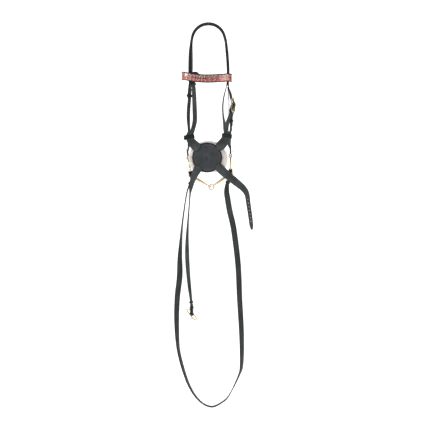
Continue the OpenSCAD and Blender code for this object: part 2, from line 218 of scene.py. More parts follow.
class Draft:
    """Vertices, faces and edge values gathered for one piece."""

    def __init__(self) -> None:
        """Starts empty."""
        self.points: list[Vector] = []
        self.faces: list[tuple[int, ...]] = []
        self.edge: list[float] = []
        self.along: list[tuple[float, float]] = []

    def tube(
        self,
        rings: Sequence[Sequence[Vector]],
        edge: Sequence[float] | None = None,
        closed: bool = False,
    ) -> None:
        """Adds a skin over rings of equal length.

        Args:
            rings: Rings of points along the piece.
            edge: How much each point of a ring lies on a cut edge, from 0 to 1.
            closed: Whether the last ring joins the first, which leaves no caps.
        """
        start, count = len(self.points), len(rings[0])
        length = 0.0
        for i, ring in enumerate(rings):
            if i:
                length += (ring[0] - rings[i - 1][0]).length
            for j, point in enumerate(ring):
                self.points.append(point)
                self.edge.append(edge[j] if edge else 0.0)
                self.along.append((j / count, length * MM))
        spans = len(rings) if closed else len(rings) - 1
        for i in range(spans):
            here, then = start + i * count, start + (i + 1) % len(rings) * count
            for j in range(count):
                k = (j + 1) % count
                self.faces.append((here + j, here + k, then + k, then + j))
        if not closed:
            end = start + (len(rings) - 1) * count
            self.faces.append(tuple(start + j for j in reversed(range(count))))
            self.faces.append(tuple(end + j for j in range(count)))

    def ribbon(
        self, route: Sequence[Station], crease: float = 0.22, closed: bool = False, puff: float = 0.0
    ) -> None:
        """Adds a strap with rounded edges and a creased line inside each edge.

        Args:
            route: The strap's sections.
            crease: Depth of the creased lines.
            closed: Whether the strap joins itself in a loop.
            puff: How far padding raises the middle of each face.
        """
        rings, edge = [], []
        for here in route:
            a, b = here.width / 2, here.thick / 2
            r = min(0.42 * here.thick, 0.4 * a)
            line = min(2.1, 0.42 * a)
            half = [(-a, b - r, 1), (-a + 0.3 * r, b - 0.3 * r, 0.8), (-a + r, b, 0.35)]
            half += [(-a + line - 0.4, b, 0), (-a + line, b - crease, 0), (-a + line + 0.4, b, 0)]
            upper = half + [(0, b + puff, 0)] + [(-u, v, e) for u, v, e in reversed(half)]
            outline = upper + [(-u, -v, e) for u, v, e in upper]
            rings.append([here.point(u, v) for u, v, _ in outline])
            edge = [e for _, _, e in outline]
        self.tube(rings, edge, closed)

    def pipe(
        self, path: Sequence[Vector], wide: float, deep: float, up: Vector, closed: bool, sides: int = 12
    ) -> None:
        """Adds a round or oval rod along a path.

        Args:
            path: The rod's middle line.
            wide: Half size in the path's plane.
            deep: Half size along up.
            up: Direction square to the path, or nearly.
            closed: Whether the path joins itself.
            sides: Points round the rod.
        """
        rings = []
        last = len(path) - 1
        for i, here in enumerate(path):
            before = path[i - 1] if i or closed else here
            after = path[(i + 1) % len(path)] if i < last or closed else here
            along = (after - before).normalized()
            rise = (up - along * up.dot(along)).normalized()
            side = along.cross(rise)
            turn = [2 * math.pi * k / sides for k in range(sides)]
            rings.append([here + side * wide * math.cos(t) + rise * deep * math.sin(t) for t in turn])
        self.tube(rings, None, closed)

    def lathe(self, outline: Sequence[tuple[float, float]], stand: Matrix, sides: int = 72) -> None:
        """Adds a closed outline of (radius, height) spun about the stand's Z.

        Args:
            outline: Points in order, all off the axis.
            stand: Frame whose Z is the axis.
            sides: Steps of the spin.
        """
        rings = []
        for i in range(sides):
            t = 2 * math.pi * i / sides
            rings.append([stand @ Vector((r * math.cos(t), r * math.sin(t), z)) for r, z in outline])
        self.tube(rings, None, True)

    def rod(self, stand: Matrix, profile: Sequence[tuple[float, float]], sides: int) -> None:
        """Adds a round rod along the stand's Z.

        Args:
            stand: Frame whose Z is the rod's axis.
            profile: Pairs of height and radius.
            sides: Points round the rod.
        """
        turn = [2 * math.pi * k / sides for k in range(sides)]
        self.tube([[stand @ Vector((r * math.cos(t), r * math.sin(t), z)) for t in turn] for z, r in profile])

    def piece(self, name: str, material: Material, smooth: bool = True) -> Piece:
        """Returns the draft as a mesh object in metres, faces outwards.

        Args:
            name: Name of the piece.
            material: Its finish.
            smooth: Whether it is shaded smooth.

        Returns:
            The object, at the origin.
        """
        mesh = bpy.data.meshes.new(name)
        mesh.from_pydata([p * MM for p in self.points], [], self.faces)
        mask = mesh.attributes.new("edge", "FLOAT", "POINT")
        mask.data.foreach_set("value", self.edge)
        uv = mesh.uv_layers.new(name="along")
        for loop in mesh.loops:
            uv.data[loop.index].uv = self.along[loop.vertex_index]
        shape = bmesh.new()
        shape.from_mesh(mesh)
        bmesh.ops.recalc_face_normals(shape, faces=shape.faces)
        shape.to_mesh(mesh)
        shape.free()
        mesh.polygons.foreach_set("use_smooth", [smooth] * len(mesh.polygons))
        mesh.materials.append(material)
        made = bpy.data.objects.new(name, mesh)
        bpy.context.scene.collection.objects.link(made)
        return made


def turn_route(stand: Matrix, width: float, bore: float, reach: float, side: float = 0.0) -> list[Station]:
    """Returns the route of a strap end folded round a bar or ring and sewn to itself.

    Args:
        stand: Frame on the bar: X along it, Z towards the sewn end.
        width: Width of the strap.
        bore: Inside radius of the fold.
        reach: How far the sewn end is from the bar.
        side: How far the sewn end stands off along Y.

    Returns:
        Stations up one leg, round the bar and back down the other.
    """
    thick, lap, pinch_up, arc_steps = LEATHER_T, 8.0, 2.5, 18
    radius = bore + thick / 2
    feet = [(side + s * thick / 2, reach) for s in (1, -1)]
    pinch = [] if side else [(s * thick / 2, radius + pinch_up) for s in (1, -1)]
    swing = []
    for (y, z), s in zip(pinch or feet, (1, -1)):
        swing.append(math.atan2(z, y) - s * math.acos(radius / math.hypot(y, z)))
    swing[1] -= 2 * math.pi
    bend = [swing[0] + (swing[1] - swing[0]) * k / arc_steps for k in range(arc_steps + 1)]
    path = [(radius * math.cos(t), radius * math.sin(t)) for t in bend]
    ends = [(side + s * (thick / 2 + 0.2), reach + lap) for s in (1, -1)]
    line = [ends[0], feet[0]] + pinch[:1] + path + pinch[1:] + [feet[1], ends[1]]
    thin = {0: 0.4, len(line) - 1: 0.4}
    across = (stand.to_3x3() @ Vector((1, 0, 0))).normalized()
    places = [stand @ Vector((0, y, z)) for y, z in line]
    found = []
    for i, place in enumerate(places):
        along = (places[min(i + 1, len(places) - 1)] - places[max(i - 1, 0)]).normalized()
        found.append(Station(place, across, along.cross(across), width - 0.1, thin.get(i, thick)))
    return found


def loop_route(stand: Matrix, width: float, deep: float, tall: float, wall: float = 1.6) -> list[Station]:
    """Returns the closed route of a keeper's leather loop.

    Args:
        stand: Frame of the strap: X across it, Y out, Z along it.
        width: Inside width.
        deep: Inside depth.
        tall: Width of the keeper's leather.
        wall: Thickness of the leather.

    Returns:
        Stations once round the loop.
    """
    corner, arc_steps = 2.4, 5
    a, b = (width + wall) / 2 - corner, (deep + wall) / 2 - corner
    found = []
    for quarter, (sx, sy) in enumerate(((1, 1), (-1, 1), (-1, -1), (1, -1))):
        for k in range(arc_steps + 1):
            t = math.radians(90 * (quarter + k / arc_steps))
            ray = Vector((math.cos(t), math.sin(t), 0))
            at = Vector((sx * a, sy * b, 0)) + ray * corner
            turn = stand.to_3x3()
            found.append(Station(stand @ at, turn @ Vector((0, 0, 1)), turn @ ray, tall, wall))
    return found


def tipped(route: Sequence[Station], length: float) -> list[Station]:
    """Returns the route with its last stretch narrowed to a point.

    Args:
        route: The strap's sections.
        length: Length of the point.

    Returns:
        The route with narrowed sections at its end.
    """
    left = 0.0
    found = [replace(route[-1], width=2.0)]
    for here, then in zip(reversed(route[:-1]), reversed(route[1:])):
        left += (then.at - here.at).length
        share = min(1.0, left / length)
        found.append(replace(here, width=2.0 + (here.width - 2.0) * math.sqrt(share)))
    return found[::-1]


def seam_lines(
    route: Sequence[Station],
    inset: float = 2.1,
    faces: Face = Face.BOTH,
    closed: bool = False,
) -> list[list[Vector]]:
    """Returns the lines that stitches follow beside a strap's two edges.

    Args:
        route: The strap's sections.
        inset: Distance of a line from its edge.
        faces: Which faces take stitches.
        closed: Whether the strap is a loop.

    Returns:
        Lines of points on the strap's faces.
    """
    lines = []
    for face in faces.value:
        for side in (-1, 1):
            line = [s.point(side * (s.width / 2 - min(inset, s.width / 4)),
                            face * s.thick / 2) for s in route]
            lines.append(line + line[:1] if closed else line)
    return lines


def stretch(route: Sequence[Station], start: float, end: float) -> list[Station]:
    """Returns the sections whose distance along the route is between start and end."""
    far, kept = 0.0, []
    for i, here in enumerate(route):
        if i:
            far += (here.at - route[i - 1].at).length
        if start <= far <= end:
            kept.append(here)
    return kept


class Sketch:
    """A node tree that is being drawn."""

    def __init__(self, tree: bpy.types.NodeTree) -> None:
        """Keeps the tree."""
        self.tree = tree

    def add(self, kind: str, inputs: dict | None = None, **settings: object) -> bpy.types.Node:
        """Adds a node.

        Args:
            kind: The node's type name.
            inputs: Values or sockets by input name or number.
            **settings: The node's own properties.

        Returns:
            The node.
        """
        node = self.tree.nodes.new(kind)
        for key, value in settings.items():
            setattr(node, key, value)
        for key, value in (inputs or {}).items():
            if isinstance(value, bpy.types.NodeSocket):
                self.tree.links.new(value, node.inputs[key])
            else:
                node.inputs[key].default_value = value
        return node

    def math(self, operation: str, a: object, b: object = 0.0) -> bpy.types.NodeSocket:
        """Returns a Math node's value for two values or sockets."""
        return self.add("ShaderNodeMath", {0: a, 1: b}, operation=operation, use_clamp=True).outputs[0]

    def blend(self, share: object, a: object, b: object) -> bpy.types.NodeSocket:
        """Returns the colour between a and b."""
        node = self.add("ShaderNodeMix", {0: share, 6: a, 7: b}, data_type="RGBA")
        return node.outputs[2]


def shader_group(name: str, inputs: dict[str, tuple[str, object]], outputs: dict[str, str]) -> Sketch:
    """Starts a shader node group with named sockets.

    Args:
        name: Name of the group.
        inputs: Socket type and default by input name.
        outputs: Socket type by output name.

    Returns:
        The sketch of its tree, with its Group Input and Group Output nodes.
    """
    tree = bpy.data.node_groups.new(name, "ShaderNodeTree")
    for key, (kind, default) in inputs.items():
        socket = tree.interface.new_socket(key, in_out="INPUT", socket_type=f"NodeSocket{kind}")
        socket.default_value = default
    for key, kind in outputs.items():
        tree.interface.new_socket(key, in_out="OUTPUT", socket_type=f"NodeSocket{kind}")
    tree.nodes.new("NodeGroupInput")
    tree.nodes.new("NodeGroupOutput")
    return Sketch(tree)


def leather_group() -> bpy.types.NodeTree:
    """Returns the group that gives leather its grain, tone and worn edges."""
    made = bpy.data.node_groups.get("leather_surface")
    if made:
        return made
    grey = (0.05, 0.05, 0.05, 1)
    sketch = shader_group(
        "leather_surface",
        {"Base": ("Color", grey), "Light": ("Color", grey), "Edge": ("Color", grey),
         "Scale": ("Float", 900.0), "Roughness": ("Float", 0.5)},
        {"Color": "Color", "Roughness": "Float", "Height": "Float"},
    )
    given = sketch.tree.nodes["Group Input"].outputs
    place = sketch.add("ShaderNodeTexCoord").outputs["Object"]
    grain = sketch.add("ShaderNodeTexVoronoi", {"Vector": place, "Scale": given["Scale"]}).outputs["Distance"]
    pores = sketch.add("ShaderNodeTexNoise", {"Vector": place, "Scale": 2600.0, "Detail": 2.0}).outputs["Fac"]
    cloud = sketch.add("ShaderNodeTexNoise", {"Vector": place, "Scale": 34.0, "Detail": 4.0}).outputs["Fac"]
    bends = sketch.add("ShaderNodeTexNoise", {"Vector": place, "Scale": 190.0, "Detail": 3.0}).outputs["Fac"]
    cut = sketch.add("ShaderNodeAttribute", attribute_name="edge").outputs["Fac"]
    # Cloud noise mixes Base towards Light; for leather, Light is partly the leather's own mottling and partly
    # a painted highlight.
    mottle_and_highlight_share = sketch.math("MULTIPLY", sketch.math("SUBTRACT", cloud, 0.3), 1.5)
    speck = sketch.math("MULTIPLY", grain, 0.35)
    surface = sketch.blend(sketch.math("ADD", mottle_and_highlight_share, speck), given["Base"], given["Light"])
    rubbed = sketch.math("MULTIPLY", cut, sketch.math("ADD", bends, 0.25))
    colour = sketch.blend(rubbed, surface, given["Edge"])
    rough = sketch.math("ADD", given["Roughness"], sketch.math("MULTIPLY", bends, 0.16))
    rough = sketch.math("ADD", rough, sketch.math("MULTIPLY", cut, 0.3))
    height = sketch.math("ADD", sketch.math("MULTIPLY", grain, 0.55), sketch.math("MULTIPLY", pores, 0.3))
    ends = sketch.tree.nodes["Group Output"].inputs
    sketch.tree.links.new(colour, ends["Color"])
    sketch.tree.links.new(rough, ends["Roughness"])
    sketch.tree.links.new(height, ends["Height"])
    return sketch.tree


def metal_group() -> bpy.types.NodeTree:
    """Returns the group that gives metal its tarnish and hairline scratches."""
    made = bpy.data.node_groups.get("metal_surface")
    if made:
        return made
    gold = (0.7, 0.55, 0.3, 1)
    sketch = shader_group(
        "metal_surface",
        {"Base": ("Color", gold), "Dark colour": ("Color", gold), "Roughness": ("Float", 0.2)},
        {"Color": "Color", "Roughness": "Float", "Height": "Float"},
    )
    given = sketch.tree.nodes["Group Input"].outputs
    place = sketch.add("ShaderNodeTexCoord").outputs["Object"]
    drawn = sketch.add("ShaderNodeMapping", {"Vector": place, "Scale": (1.0, 1.0, 9.0)}).outputs["Vector"]
    hair = sketch.add("ShaderNodeTexNoise", {"Vector": drawn, "Scale": 420.0, "Detail": 5.0}).outputs["Fac"]
    film = sketch.add("ShaderNodeTexNoise", {"Vector": place, "Scale": 75.0, "Detail": 3.0}).outputs["Fac"]
    # Noise mixes Base towards the dark colour; on metal that colour is partly tarnish and partly painted
    # shade and painted dark reflection.
    dark_share = sketch.math("MULTIPLY", sketch.math("SUBTRACT", film, 0.42), 2.2)
    colour = sketch.blend(dark_share, given["Base"], given["Dark colour"])
    rough = sketch.math("ADD", given["Roughness"], sketch.math("MULTIPLY", hair, 0.16))
    ends = sketch.tree.nodes["Group Output"].inputs
    sketch.tree.links.new(colour, ends["Color"])
    sketch.tree.links.new(rough, ends["Roughness"])
    sketch.tree.links.new(hair, ends["Height"])
    return sketch.tree


def surface_material(name: str, group: bpy.types.NodeTree, inputs: dict, bump: float,
                     shader: dict) -> Material:
    """Returns a material whose colour, roughness and bump come from a group.

    Args:
        name: Name of the material.
        group: The surface group.
        inputs: The group's values by input name.
        bump: Strength of the bump.
        shader: Values set directly on the Principled shader.

    Returns:
        The material.
    """
    material = bpy.data.materials.new(name)
    material.use_nodes = True
    sketch = Sketch(material.node_tree)
    face = material.node_tree.nodes["Principled BSDF"]
    surface = sketch.add("ShaderNodeGroup", node_tree=group)
    for key, value in inputs.items():
        surface.inputs[key].default_value = value
    relief = {"Height": surface.outputs["Height"], "Strength": bump, "Distance": 0.0004}
    normal = sketch.add("ShaderNodeBump", relief).outputs["Normal"]
    for key, value in shader.items():
        face.inputs[key].default_value = value
    sketch.tree.links.new(surface.outputs["Color"], face.inputs["Base Color"])
    sketch.tree.links.new(surface.outputs["Roughness"], face.inputs["Roughness"])
    sketch.tree.links.new(normal, face.inputs["Normal"])
    return material


@dataclass(frozen=True)
class LeatherFinish:
    """Bridle leather, dyed through and lightly waxed."""

    name: str
    base: tuple[float, float, float]
    # light is partly the leather's own mottling and partly a painted highlight.
    light: tuple[float, float, float]
    edge: tuple[float, float, float] = (0.006, 0.006, 0.007)
    roughness: float = 0.42
    scale: float = 950.0
    bump: float = 0.35
    coat: float = 0.05

    def material(self) -> Material:
        """Returns the finish as a material."""
        inputs = {"Base": (*self.base, 1), "Light": (*self.light, 1), "Edge": (*self.edge, 1)}
        inputs.update({"Scale": self.scale, "Roughness": self.roughness})
        shader = {"Coat Weight": self.coat, "Coat Roughness": 0.32, "Specular IOR Level": 0.2}
        return surface_material(self.name, leather_group(), inputs, self.bump, shader)


@dataclass(frozen=True)
class MetalFinish:
    """Polished metal with a little tarnish."""

    name: str
    base: tuple[float, float, float]
    tarnish_and_shade: tuple[float, float, float]
    roughness: float = 0.14

    def material(self) -> Material:
        """Returns the finish as a material."""
        inputs = {"Base": (*self.base, 1), "Dark colour": (*self.tarnish_and_shade, 1), "Roughness": self.roughness}
        return surface_material(self.name, metal_group(), inputs, 0.06, {"Metallic": 1.0})


@dataclass(frozen=True)
class StoneFinish:
    """Cut glass backed with foil."""

    name: str
    colour: tuple[float, float, float]
    deep: tuple[float, float, float]

    def material(self) -> Material:
        """Returns the finish as a material."""
        inputs = {"Base": (*self.colour, 1), "Dark colour": (*self.deep, 1), "Roughness": 0.02}
        shader = {"Metallic": 0.25, "Coat Weight": 1.0, "Coat Roughness": 0.03, "IOR": 1.55}
        return surface_material(self.name, metal_group(), inputs, 0.0, shader)


@dataclass(frozen=True)
class FibreFinish:
    """Wool or thread, whose colour drifts along it."""

    name: str
    base: tuple[float, float, float]
    shade: tuple[float, float, float]
    scale: float
    sheen: float

    def material(self) -> Material:
        """Returns the finish as a material."""
        inputs = {"Base": (*self.base, 1), "Light": (*self.shade, 1), "Edge": (*self.shade, 1)}
        inputs.update({"Scale": self.scale, "Roughness": 0.8})
        shader = {"Sheen Weight": self.sheen, "Sheen Roughness": 0.5, "Specular IOR Level": 0.2}
        return surface_material(self.name, leather_group(), inputs, 0.5, shader)


class Finishes:
    """The bridle's materials, made once."""

    def __init__(self) -> None:
        """Makes each material."""
        self.strap = LeatherFinish("strap leather", (0.024, 0.028, 0.029), (0.075, 0.084, 0.086)).material()
        # The rein leather is darker than the strap leather, partly as painted shade spread evenly over the
        # whole rein.
        self.rein = LeatherFinish("rein leather", (0.020, 0.023, 0.024), (0.055, 0.061, 0.063)).material()
        self.keeper = LeatherFinish("keeper leather", (0.010, 0.011, 0.012), (0.022, 0.024, 0.025)).material()
        disc = LeatherFinish("disc leather", (0.028, 0.031, 0.034), (0.068, 0.074, 0.080), roughness=0.45,
                             bump=0.5)
        self.disc = disc.material()
        self.piping = LeatherFinish("rolled edge", (0.008, 0.008, 0.009), (0.016, 0.016, 0.017)).material()
        self.thread = FibreFinish("waxed thread", (0.20, 0.20, 0.195), (0.11, 0.11, 0.107), 3000.0,
                                  0.1).material()
        self.wool = FibreFinish("cream wool", (0.98, 0.94, 0.91), (0.95, 0.88, 0.84), 500.0, 1.0).material()
        # The metals' dark colours are partly tarnish and partly painted shade.
        self.brass = MetalFinish("buckle brass", (0.74, 0.56, 0.29), (0.40, 0.26, 0.10)).material()
        self.bit = MetalFinish("bit metal", (0.90, 0.76, 0.52), (0.46, 0.31, 0.15), 0.13).material()
        self.setting = MetalFinish("stone setting", (0.80, 0.62, 0.52), (0.45, 0.25, 0.2)).material()
        self.stones = {
            StoneKind.CLEAR: StoneFinish("clear stone", (0.90, 0.62, 0.58), (0.78, 0.42, 0.40)).material(),
            StoneKind.ROSE: StoneFinish("rose stone", (0.66, 0.17, 0.18), (0.50, 0.09, 0.10)).material(),
            StoneKind.RED: StoneFinish("red stone", (0.30, 0.025, 0.035), (0.16, 0.01, 0.02)).material(),
        }


def repeat_tree(name: str, inputs: dict[str, str],
                draw: Callable[[Sketch, object], object]) -> bpy.types.NodeTree:
    """Returns a Geometry Nodes tree that ends in Realize Instances and Set Material.

    Args:
        name: Name of the tree.
        inputs: Socket type by input name, beyond Geometry and Finish.
        draw: Draws the instances from the sketch and the Group Input's outputs.

    Returns:
        The tree.
    """
    made = bpy.data.node_groups.get(name)
    if made:
        return made
    tree = bpy.data.node_groups.new(name, "GeometryNodeTree")
    sockets = {"Geometry": "Geometry", "Finish": "Material", **inputs}
    for key, kind in sockets.items():
        tree.interface.new_socket(key, in_out="INPUT", socket_type=f"NodeSocket{kind}")
    tree.interface.new_socket("Geometry", in_out="OUTPUT", socket_type="NodeSocketGeometry")
    given = tree.nodes.new("NodeGroupInput").outputs
    end = tree.nodes.new("NodeGroupOutput")
    sketch = Sketch(tree)
    real = sketch.add("GeometryNodeRealizeInstances", {0: draw(sketch, given)}).outputs[0]
    dyed = sketch.add("GeometryNodeSetMaterial", {"Geometry": real, "Material": given["Finish"]}).outputs[0]
    tree.links.new(dyed, end.inputs[0])
    return tree


def repeated(base: Piece, tree: bpy.types.NodeTree, name: str, values: dict[str, object]) -> Piece:
    """Returns what a Geometry Nodes tree makes of a base, as a plain mesh piece.

    Args:
        base: The object that the tree works on, removed afterwards.
        tree: The tree.
        name: Name of the piece.
        values: The tree's inputs by name.

    Returns:
        The piece.
    """
    modifier = base.modifiers.new("repeat", "NODES")
    modifier.node_group = tree
    sockets = {s.name: s.identifier for s in tree.interface.items_tree if s.in_out == "INPUT"}
    for key, value in values.items():
        modifier[sockets[key]] = value
    bpy.context.view_layer.update()
    evaluated = base.evaluated_get(bpy.context.evaluated_depsgraph_get())
    mesh = bpy.data.meshes.new_from_object(evaluated)
    bpy.data.objects.remove(base)
    piece = bpy.data.objects.new(name, mesh)
    mesh.name = name
    bpy.context.scene.collection.objects.link(piece)
    return piece


def stitch_tree() -> bpy.types.NodeTree:
    """Returns the tree that lays a row of stitches along each line."""

    def draw(sketch: Sketch, given: object) -> object:
        line = sketch.add("GeometryNodeMeshToCurve", {0: given["Geometry"]}).outputs[0]
        laid = sketch.add("GeometryNodeResampleCurve", {"Curve": line, "Length": given["Pitch"]},
                          mode="LENGTH")
        bead = sketch.add("GeometryNodeMeshIcoSphere", {"Radius": 0.5, "Subdivisions": 1}).outputs[0]
        size = sketch.add("ShaderNodeCombineXYZ", {0: given["Width"], 1: given["Width"], 2: given["Length"]})
        bead = sketch.add("GeometryNodeTransform", {"Geometry": bead, "Scale": size.outputs[0]}).outputs[0]
        along = sketch.add("GeometryNodeInputTangent").outputs[0]
        turn = sketch.add("FunctionNodeAlignRotationToVector", {"Vector": along}, axis="Z").outputs[0]
        return sketch.add(
            "GeometryNodeInstanceOnPoints", {"Points": laid.outputs[0], "Instance": bead, "Rotation": turn}
        ).outputs[0]

    return repeat_tree("stitch rows", {"Pitch": "Float", "Width": "Float", "Length": "Float"}, draw)


def stitches(lines: Iterable[Sequence[Vector]], name: str, thread: Material) -> Piece:
    """Returns stitches along lines of points.

    Args:
        lines: Lines on the leather's faces.
        name: Name of the piece.
        thread: The thread's finish.

    Returns:
        The stitches as one piece.
    """
    points, edges = [], []
    for line in lines:
        edges += [(len(points) + k, len(points) + k + 1) for k in range(len(line) - 1)]
        points += [p * MM for p in line]
    mesh = bpy.data.meshes.new("seam")
    mesh.from_pydata(points, edges, [])
    base = bpy.data.objects.new("seam", mesh)
    bpy.context.scene.collection.objects.link(base)
    sizes = {"Pitch": 3.4 * MM, "Width": 0.75 * MM, "Length": 2.5 * MM, "Finish": thread}
    return repeated(base, stitch_tree(), name, sizes)


def stone_tree() -> bpy.types.NodeTree:
    """Returns the tree that sets a cut stone or its setting on each point, facing out."""

    def draw(sketch: Sketch, given: object) -> object:
        size = {"Vertices": 8, "Radius Bottom": given["Radius"], "Depth": given["Height"]}
        top = sketch.add("ShaderNodeMath", {0: given["Radius"], 1: given["Table"]},
                         operation="MULTIPLY").outputs[0]
        gem = sketch.add("GeometryNodeMeshCone", {**size, "Radius Top": top}).outputs["Mesh"]
        facing = sketch.add("GeometryNodeInputNamedAttribute", {"Name": "facing"}, data_type="FLOAT_VECTOR")
        course = sketch.add("GeometryNodeInputNamedAttribute", {"Name": "course"}, data_type="FLOAT_VECTOR")
        turn = sketch.add("FunctionNodeAlignRotationToVector", {"Vector": facing.outputs[0]},
                          axis="Z").outputs[0]
        turn = sketch.add(
            "FunctionNodeAlignRotationToVector",
            {"Rotation": turn, "Vector": course.outputs[0]},
            axis="X",
            pivot_axis="Z",
        ).outputs[0]
        points = sketch.add("GeometryNodeMeshToPoints", {"Mesh": given["Geometry"]}).outputs[0]
        return sketch.add(
            "GeometryNodeInstanceOnPoints", {"Points": points, "Instance": gem, "Rotation": turn}
        ).outputs[0]

    return repeat_tree("set stones", {"Radius": "Float", "Height": "Float", "Table": "Float"}, draw)


def set_on(places: Sequence[tuple[Vector, Vector, Vector]], name: str, values: dict[str, object]) -> Piece:
    """Returns faceted studs set at places.

    Args:
        places: Point, outward direction and course of each.
        name: Name of the piece.
        values: The stone tree's inputs.

    Returns:
        The studs as one piece.
    """
    mesh = bpy.data.meshes.new("places")
    mesh.from_pydata([at * MM for at, _, _ in places], [], [])
    for key, column in (("facing", 1), ("course", 2)):
        layer = mesh.attributes.new(key, "FLOAT_VECTOR", "POINT")
        layer.data.foreach_set("vector", [value for place in places for value in place[column]])
    base = bpy.data.objects.new("places", mesh)
    bpy.context.scene.collection.objects.link(base)
    return repeated(base, stone_tree(), name, values)


def wool_tree() -> bpy.types.NodeTree:
    """Returns the tree that grows locks of wool on a surface."""

    def draw(sketch: Sketch, given: object) -> object:
        roots = sketch.add(
            "GeometryNodeDistributePointsOnFaces",
            {"Mesh": given["Geometry"], "Density": given["Density"], "Seed": 11},
        )
        size = {"Vertices": 4, "Radius Top": 0.0, "Radius Bottom": given["Width"], "Depth": given["Length"]}
        lock = sketch.add("GeometryNodeMeshCone", {**size, "Side Segments": 2}).outputs["Mesh"]
        spread = sketch.add(
            "FunctionNodeRandomValue", {0: (-0.6, -0.6, -0.9), 1: (0.6, 0.6, 0.3), "Seed": 5},
            data_type="FLOAT_VECTOR"
        ).outputs[0]
        lean = sketch.add("ShaderNodeVectorMath", {0: roots.outputs["Normal"], 1: spread},
                          operation="ADD").outputs[0]
        turn = sketch.add("FunctionNodeAlignRotationToVector", {"Vector": lean}, axis="Z").outputs[0]
        grown = sketch.add("FunctionNodeRandomValue", {2: 0.55, 3: 1.25, "Seed": 3},
                           data_type="FLOAT").outputs[1]
        return sketch.add(
            "GeometryNodeInstanceOnPoints",
            {"Points": roots.outputs[0], "Instance": lock, "Rotation": turn, "Scale": grown},
        ).outputs[0]

    return repeat_tree("wool locks", {"Density": "Float", "Width": "Float", "Length": "Float"}, draw)


@dataclass
class Assembly:
    """A sub-assembly of the bridle, which makes and dresses its own pieces."""

    finishes: Finishes

    def fit(self, piece: Piece, body: str, slot: str, *nodes: str) -> Piece:
        """Puts a finished piece on its body.

        Args:
            piece: The piece.
            body: The CAD body that it rides on.
            slot: The record's material slot.
            *nodes: CAD nodes that it stands for.

        Returns:
            The piece.
        """
        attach(piece, body)
        if nodes:
            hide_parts(*nodes)
        log.info("%s: %d faces on %s", piece.name, len(piece.data.polygons), body)
        return piece

    def loop(self, name: str, stand: Matrix, sizes: Sequence[float], body: str = "root",
             puff: float = 0.0) -> None:
        """Makes a keeper in place of the CAD node of its name.

        Args:
            name: The node.
            stand: Frame of the strap that it holds.
            sizes: Inside width, inside depth and height.
            body: The body that it rides on.
            puff: How far its middle bulges.
        """
        draft = Draft()
        draft.ribbon(loop_route(stand, *sizes), 0.12, closed=True, puff=puff)
        self.fit(draft.piece(name + "_leather", self.finishes.keeper), body, "keeper_leather", name)


@dataclass
class Studio:
    """The camera, the lights and the pale room."""

    view_width: float = 1.419
    lens: float = 85.0
    sensor: float = 36.0
    centre: tuple[float, float, float] = (0.0215, 0.0, -0.576)

    def build(self) -> None:
        """Makes the camera, three soft lights, and a floor that curves up behind."""
        scene = bpy.context.scene
        scene.view_settings.view_transform = "Standard"
        eye = bpy.data.cameras.new("camera")
        eye.lens, eye.sensor_width, eye.clip_end = self.lens, self.sensor, 50
        camera = bpy.data.objects.new("camera", eye)
        camera.location = Vector(self.centre) - Vector((0, self.view_width * self.lens / self.sensor, 0))
        camera.rotation_euler = (math.radians(90), 0, 0)
        scene.collection.objects.link(camera)
        scene.camera = camera
        self.light("key", (-2.0, -1.7, 0.9), 34, 1.3)
        self.light("fill", (1.9, -2.4, 0.4), 9, 1.6)
        self.light("rim", (0.6, 2.0, 1.5), 9, 1.4)
        world = bpy.data.worlds.new("studio")
        world.use_nodes = True
        world.node_tree.nodes["Background"].inputs["Color"].default_value = (1, 1, 1, 1)
        world.node_tree.nodes["Background"].inputs["Strength"].default_value = 0.3
        scene.world = world
        self.room()

    def light(self, name: str, at: tuple[float, float, float], power: float, size: float) -> None:
        """Adds a square soft light aimed at the bridle.

        Args:
            name: Name of the light.
            at: Its place in metres.
            power: Its power in watts.
            size: Its side in metres.
        """
        data = bpy.data.lights.new(name, "AREA")
        data.energy, data.size = power, size
        lamp = bpy.data.objects.new(name, data)
        lamp.location = at
        lamp.rotation_euler = (Vector(self.centre) - Vector(at)).to_track_quat("-Z", "Y").to_euler()
        bpy.context.scene.collection.objects.link(lamp)

    def room(self) -> None:
        """Adds a floor that curves up into a back wall."""
        low, bend, half, back, steps = cad_bounds[0][2] - 0.01, 1.2, 9.0, 3.4, 16
        line = [(-7.0, low), (back - bend, low)]
        turn = [math.radians(90 * k / steps) for k in range(1, steps + 1)]
        line += [(back - bend + bend * math.sin(t), low + bend - bend * math.cos(t)) for t in turn]
        line += [(back, low + 7.0)]
        points = [(x, y, z) for y, z in line for x in (-half, half)]
        faces = [(2 * k, 2 * k + 1, 2 * k + 3, 2 * k + 2) for k in range(len(line) - 1)]
        mesh = bpy.data.meshes.new("room")
        mesh.from_pydata(points, [], faces)
        mesh.polygons.foreach_set("use_smooth", [True] * len(faces))
        paper = bpy.data.materials.new("white paper")
        paper.use_nodes = True
        paper.node_tree.nodes["Principled BSDF"].inputs["Base Color"].default_value = (0.95, 0.95, 0.95, 1)
        paper.node_tree.nodes["Principled BSDF"].inputs["Roughness"].default_value = 0.9
        paper.node_tree.nodes["Principled BSDF"].inputs["Emission Color"].default_value = (1, 1, 1, 1)
        paper.node_tree.nodes["Principled BSDF"].inputs["Emission Strength"].default_value = 0.62
        mesh.materials.append(paper)
        room = bpy.data.objects.new("room", mesh)
        bpy.context.scene.collection.objects.link(room)


LEFT_RING_AT = (-63, 30, -416)
RIGHT_RING_AT = (73, 30, -409)
RING_ENDS = ((LEFT_RING_AT, LEFT_TILT, "left"), (RIGHT_RING_AT, 0.0, "right"))


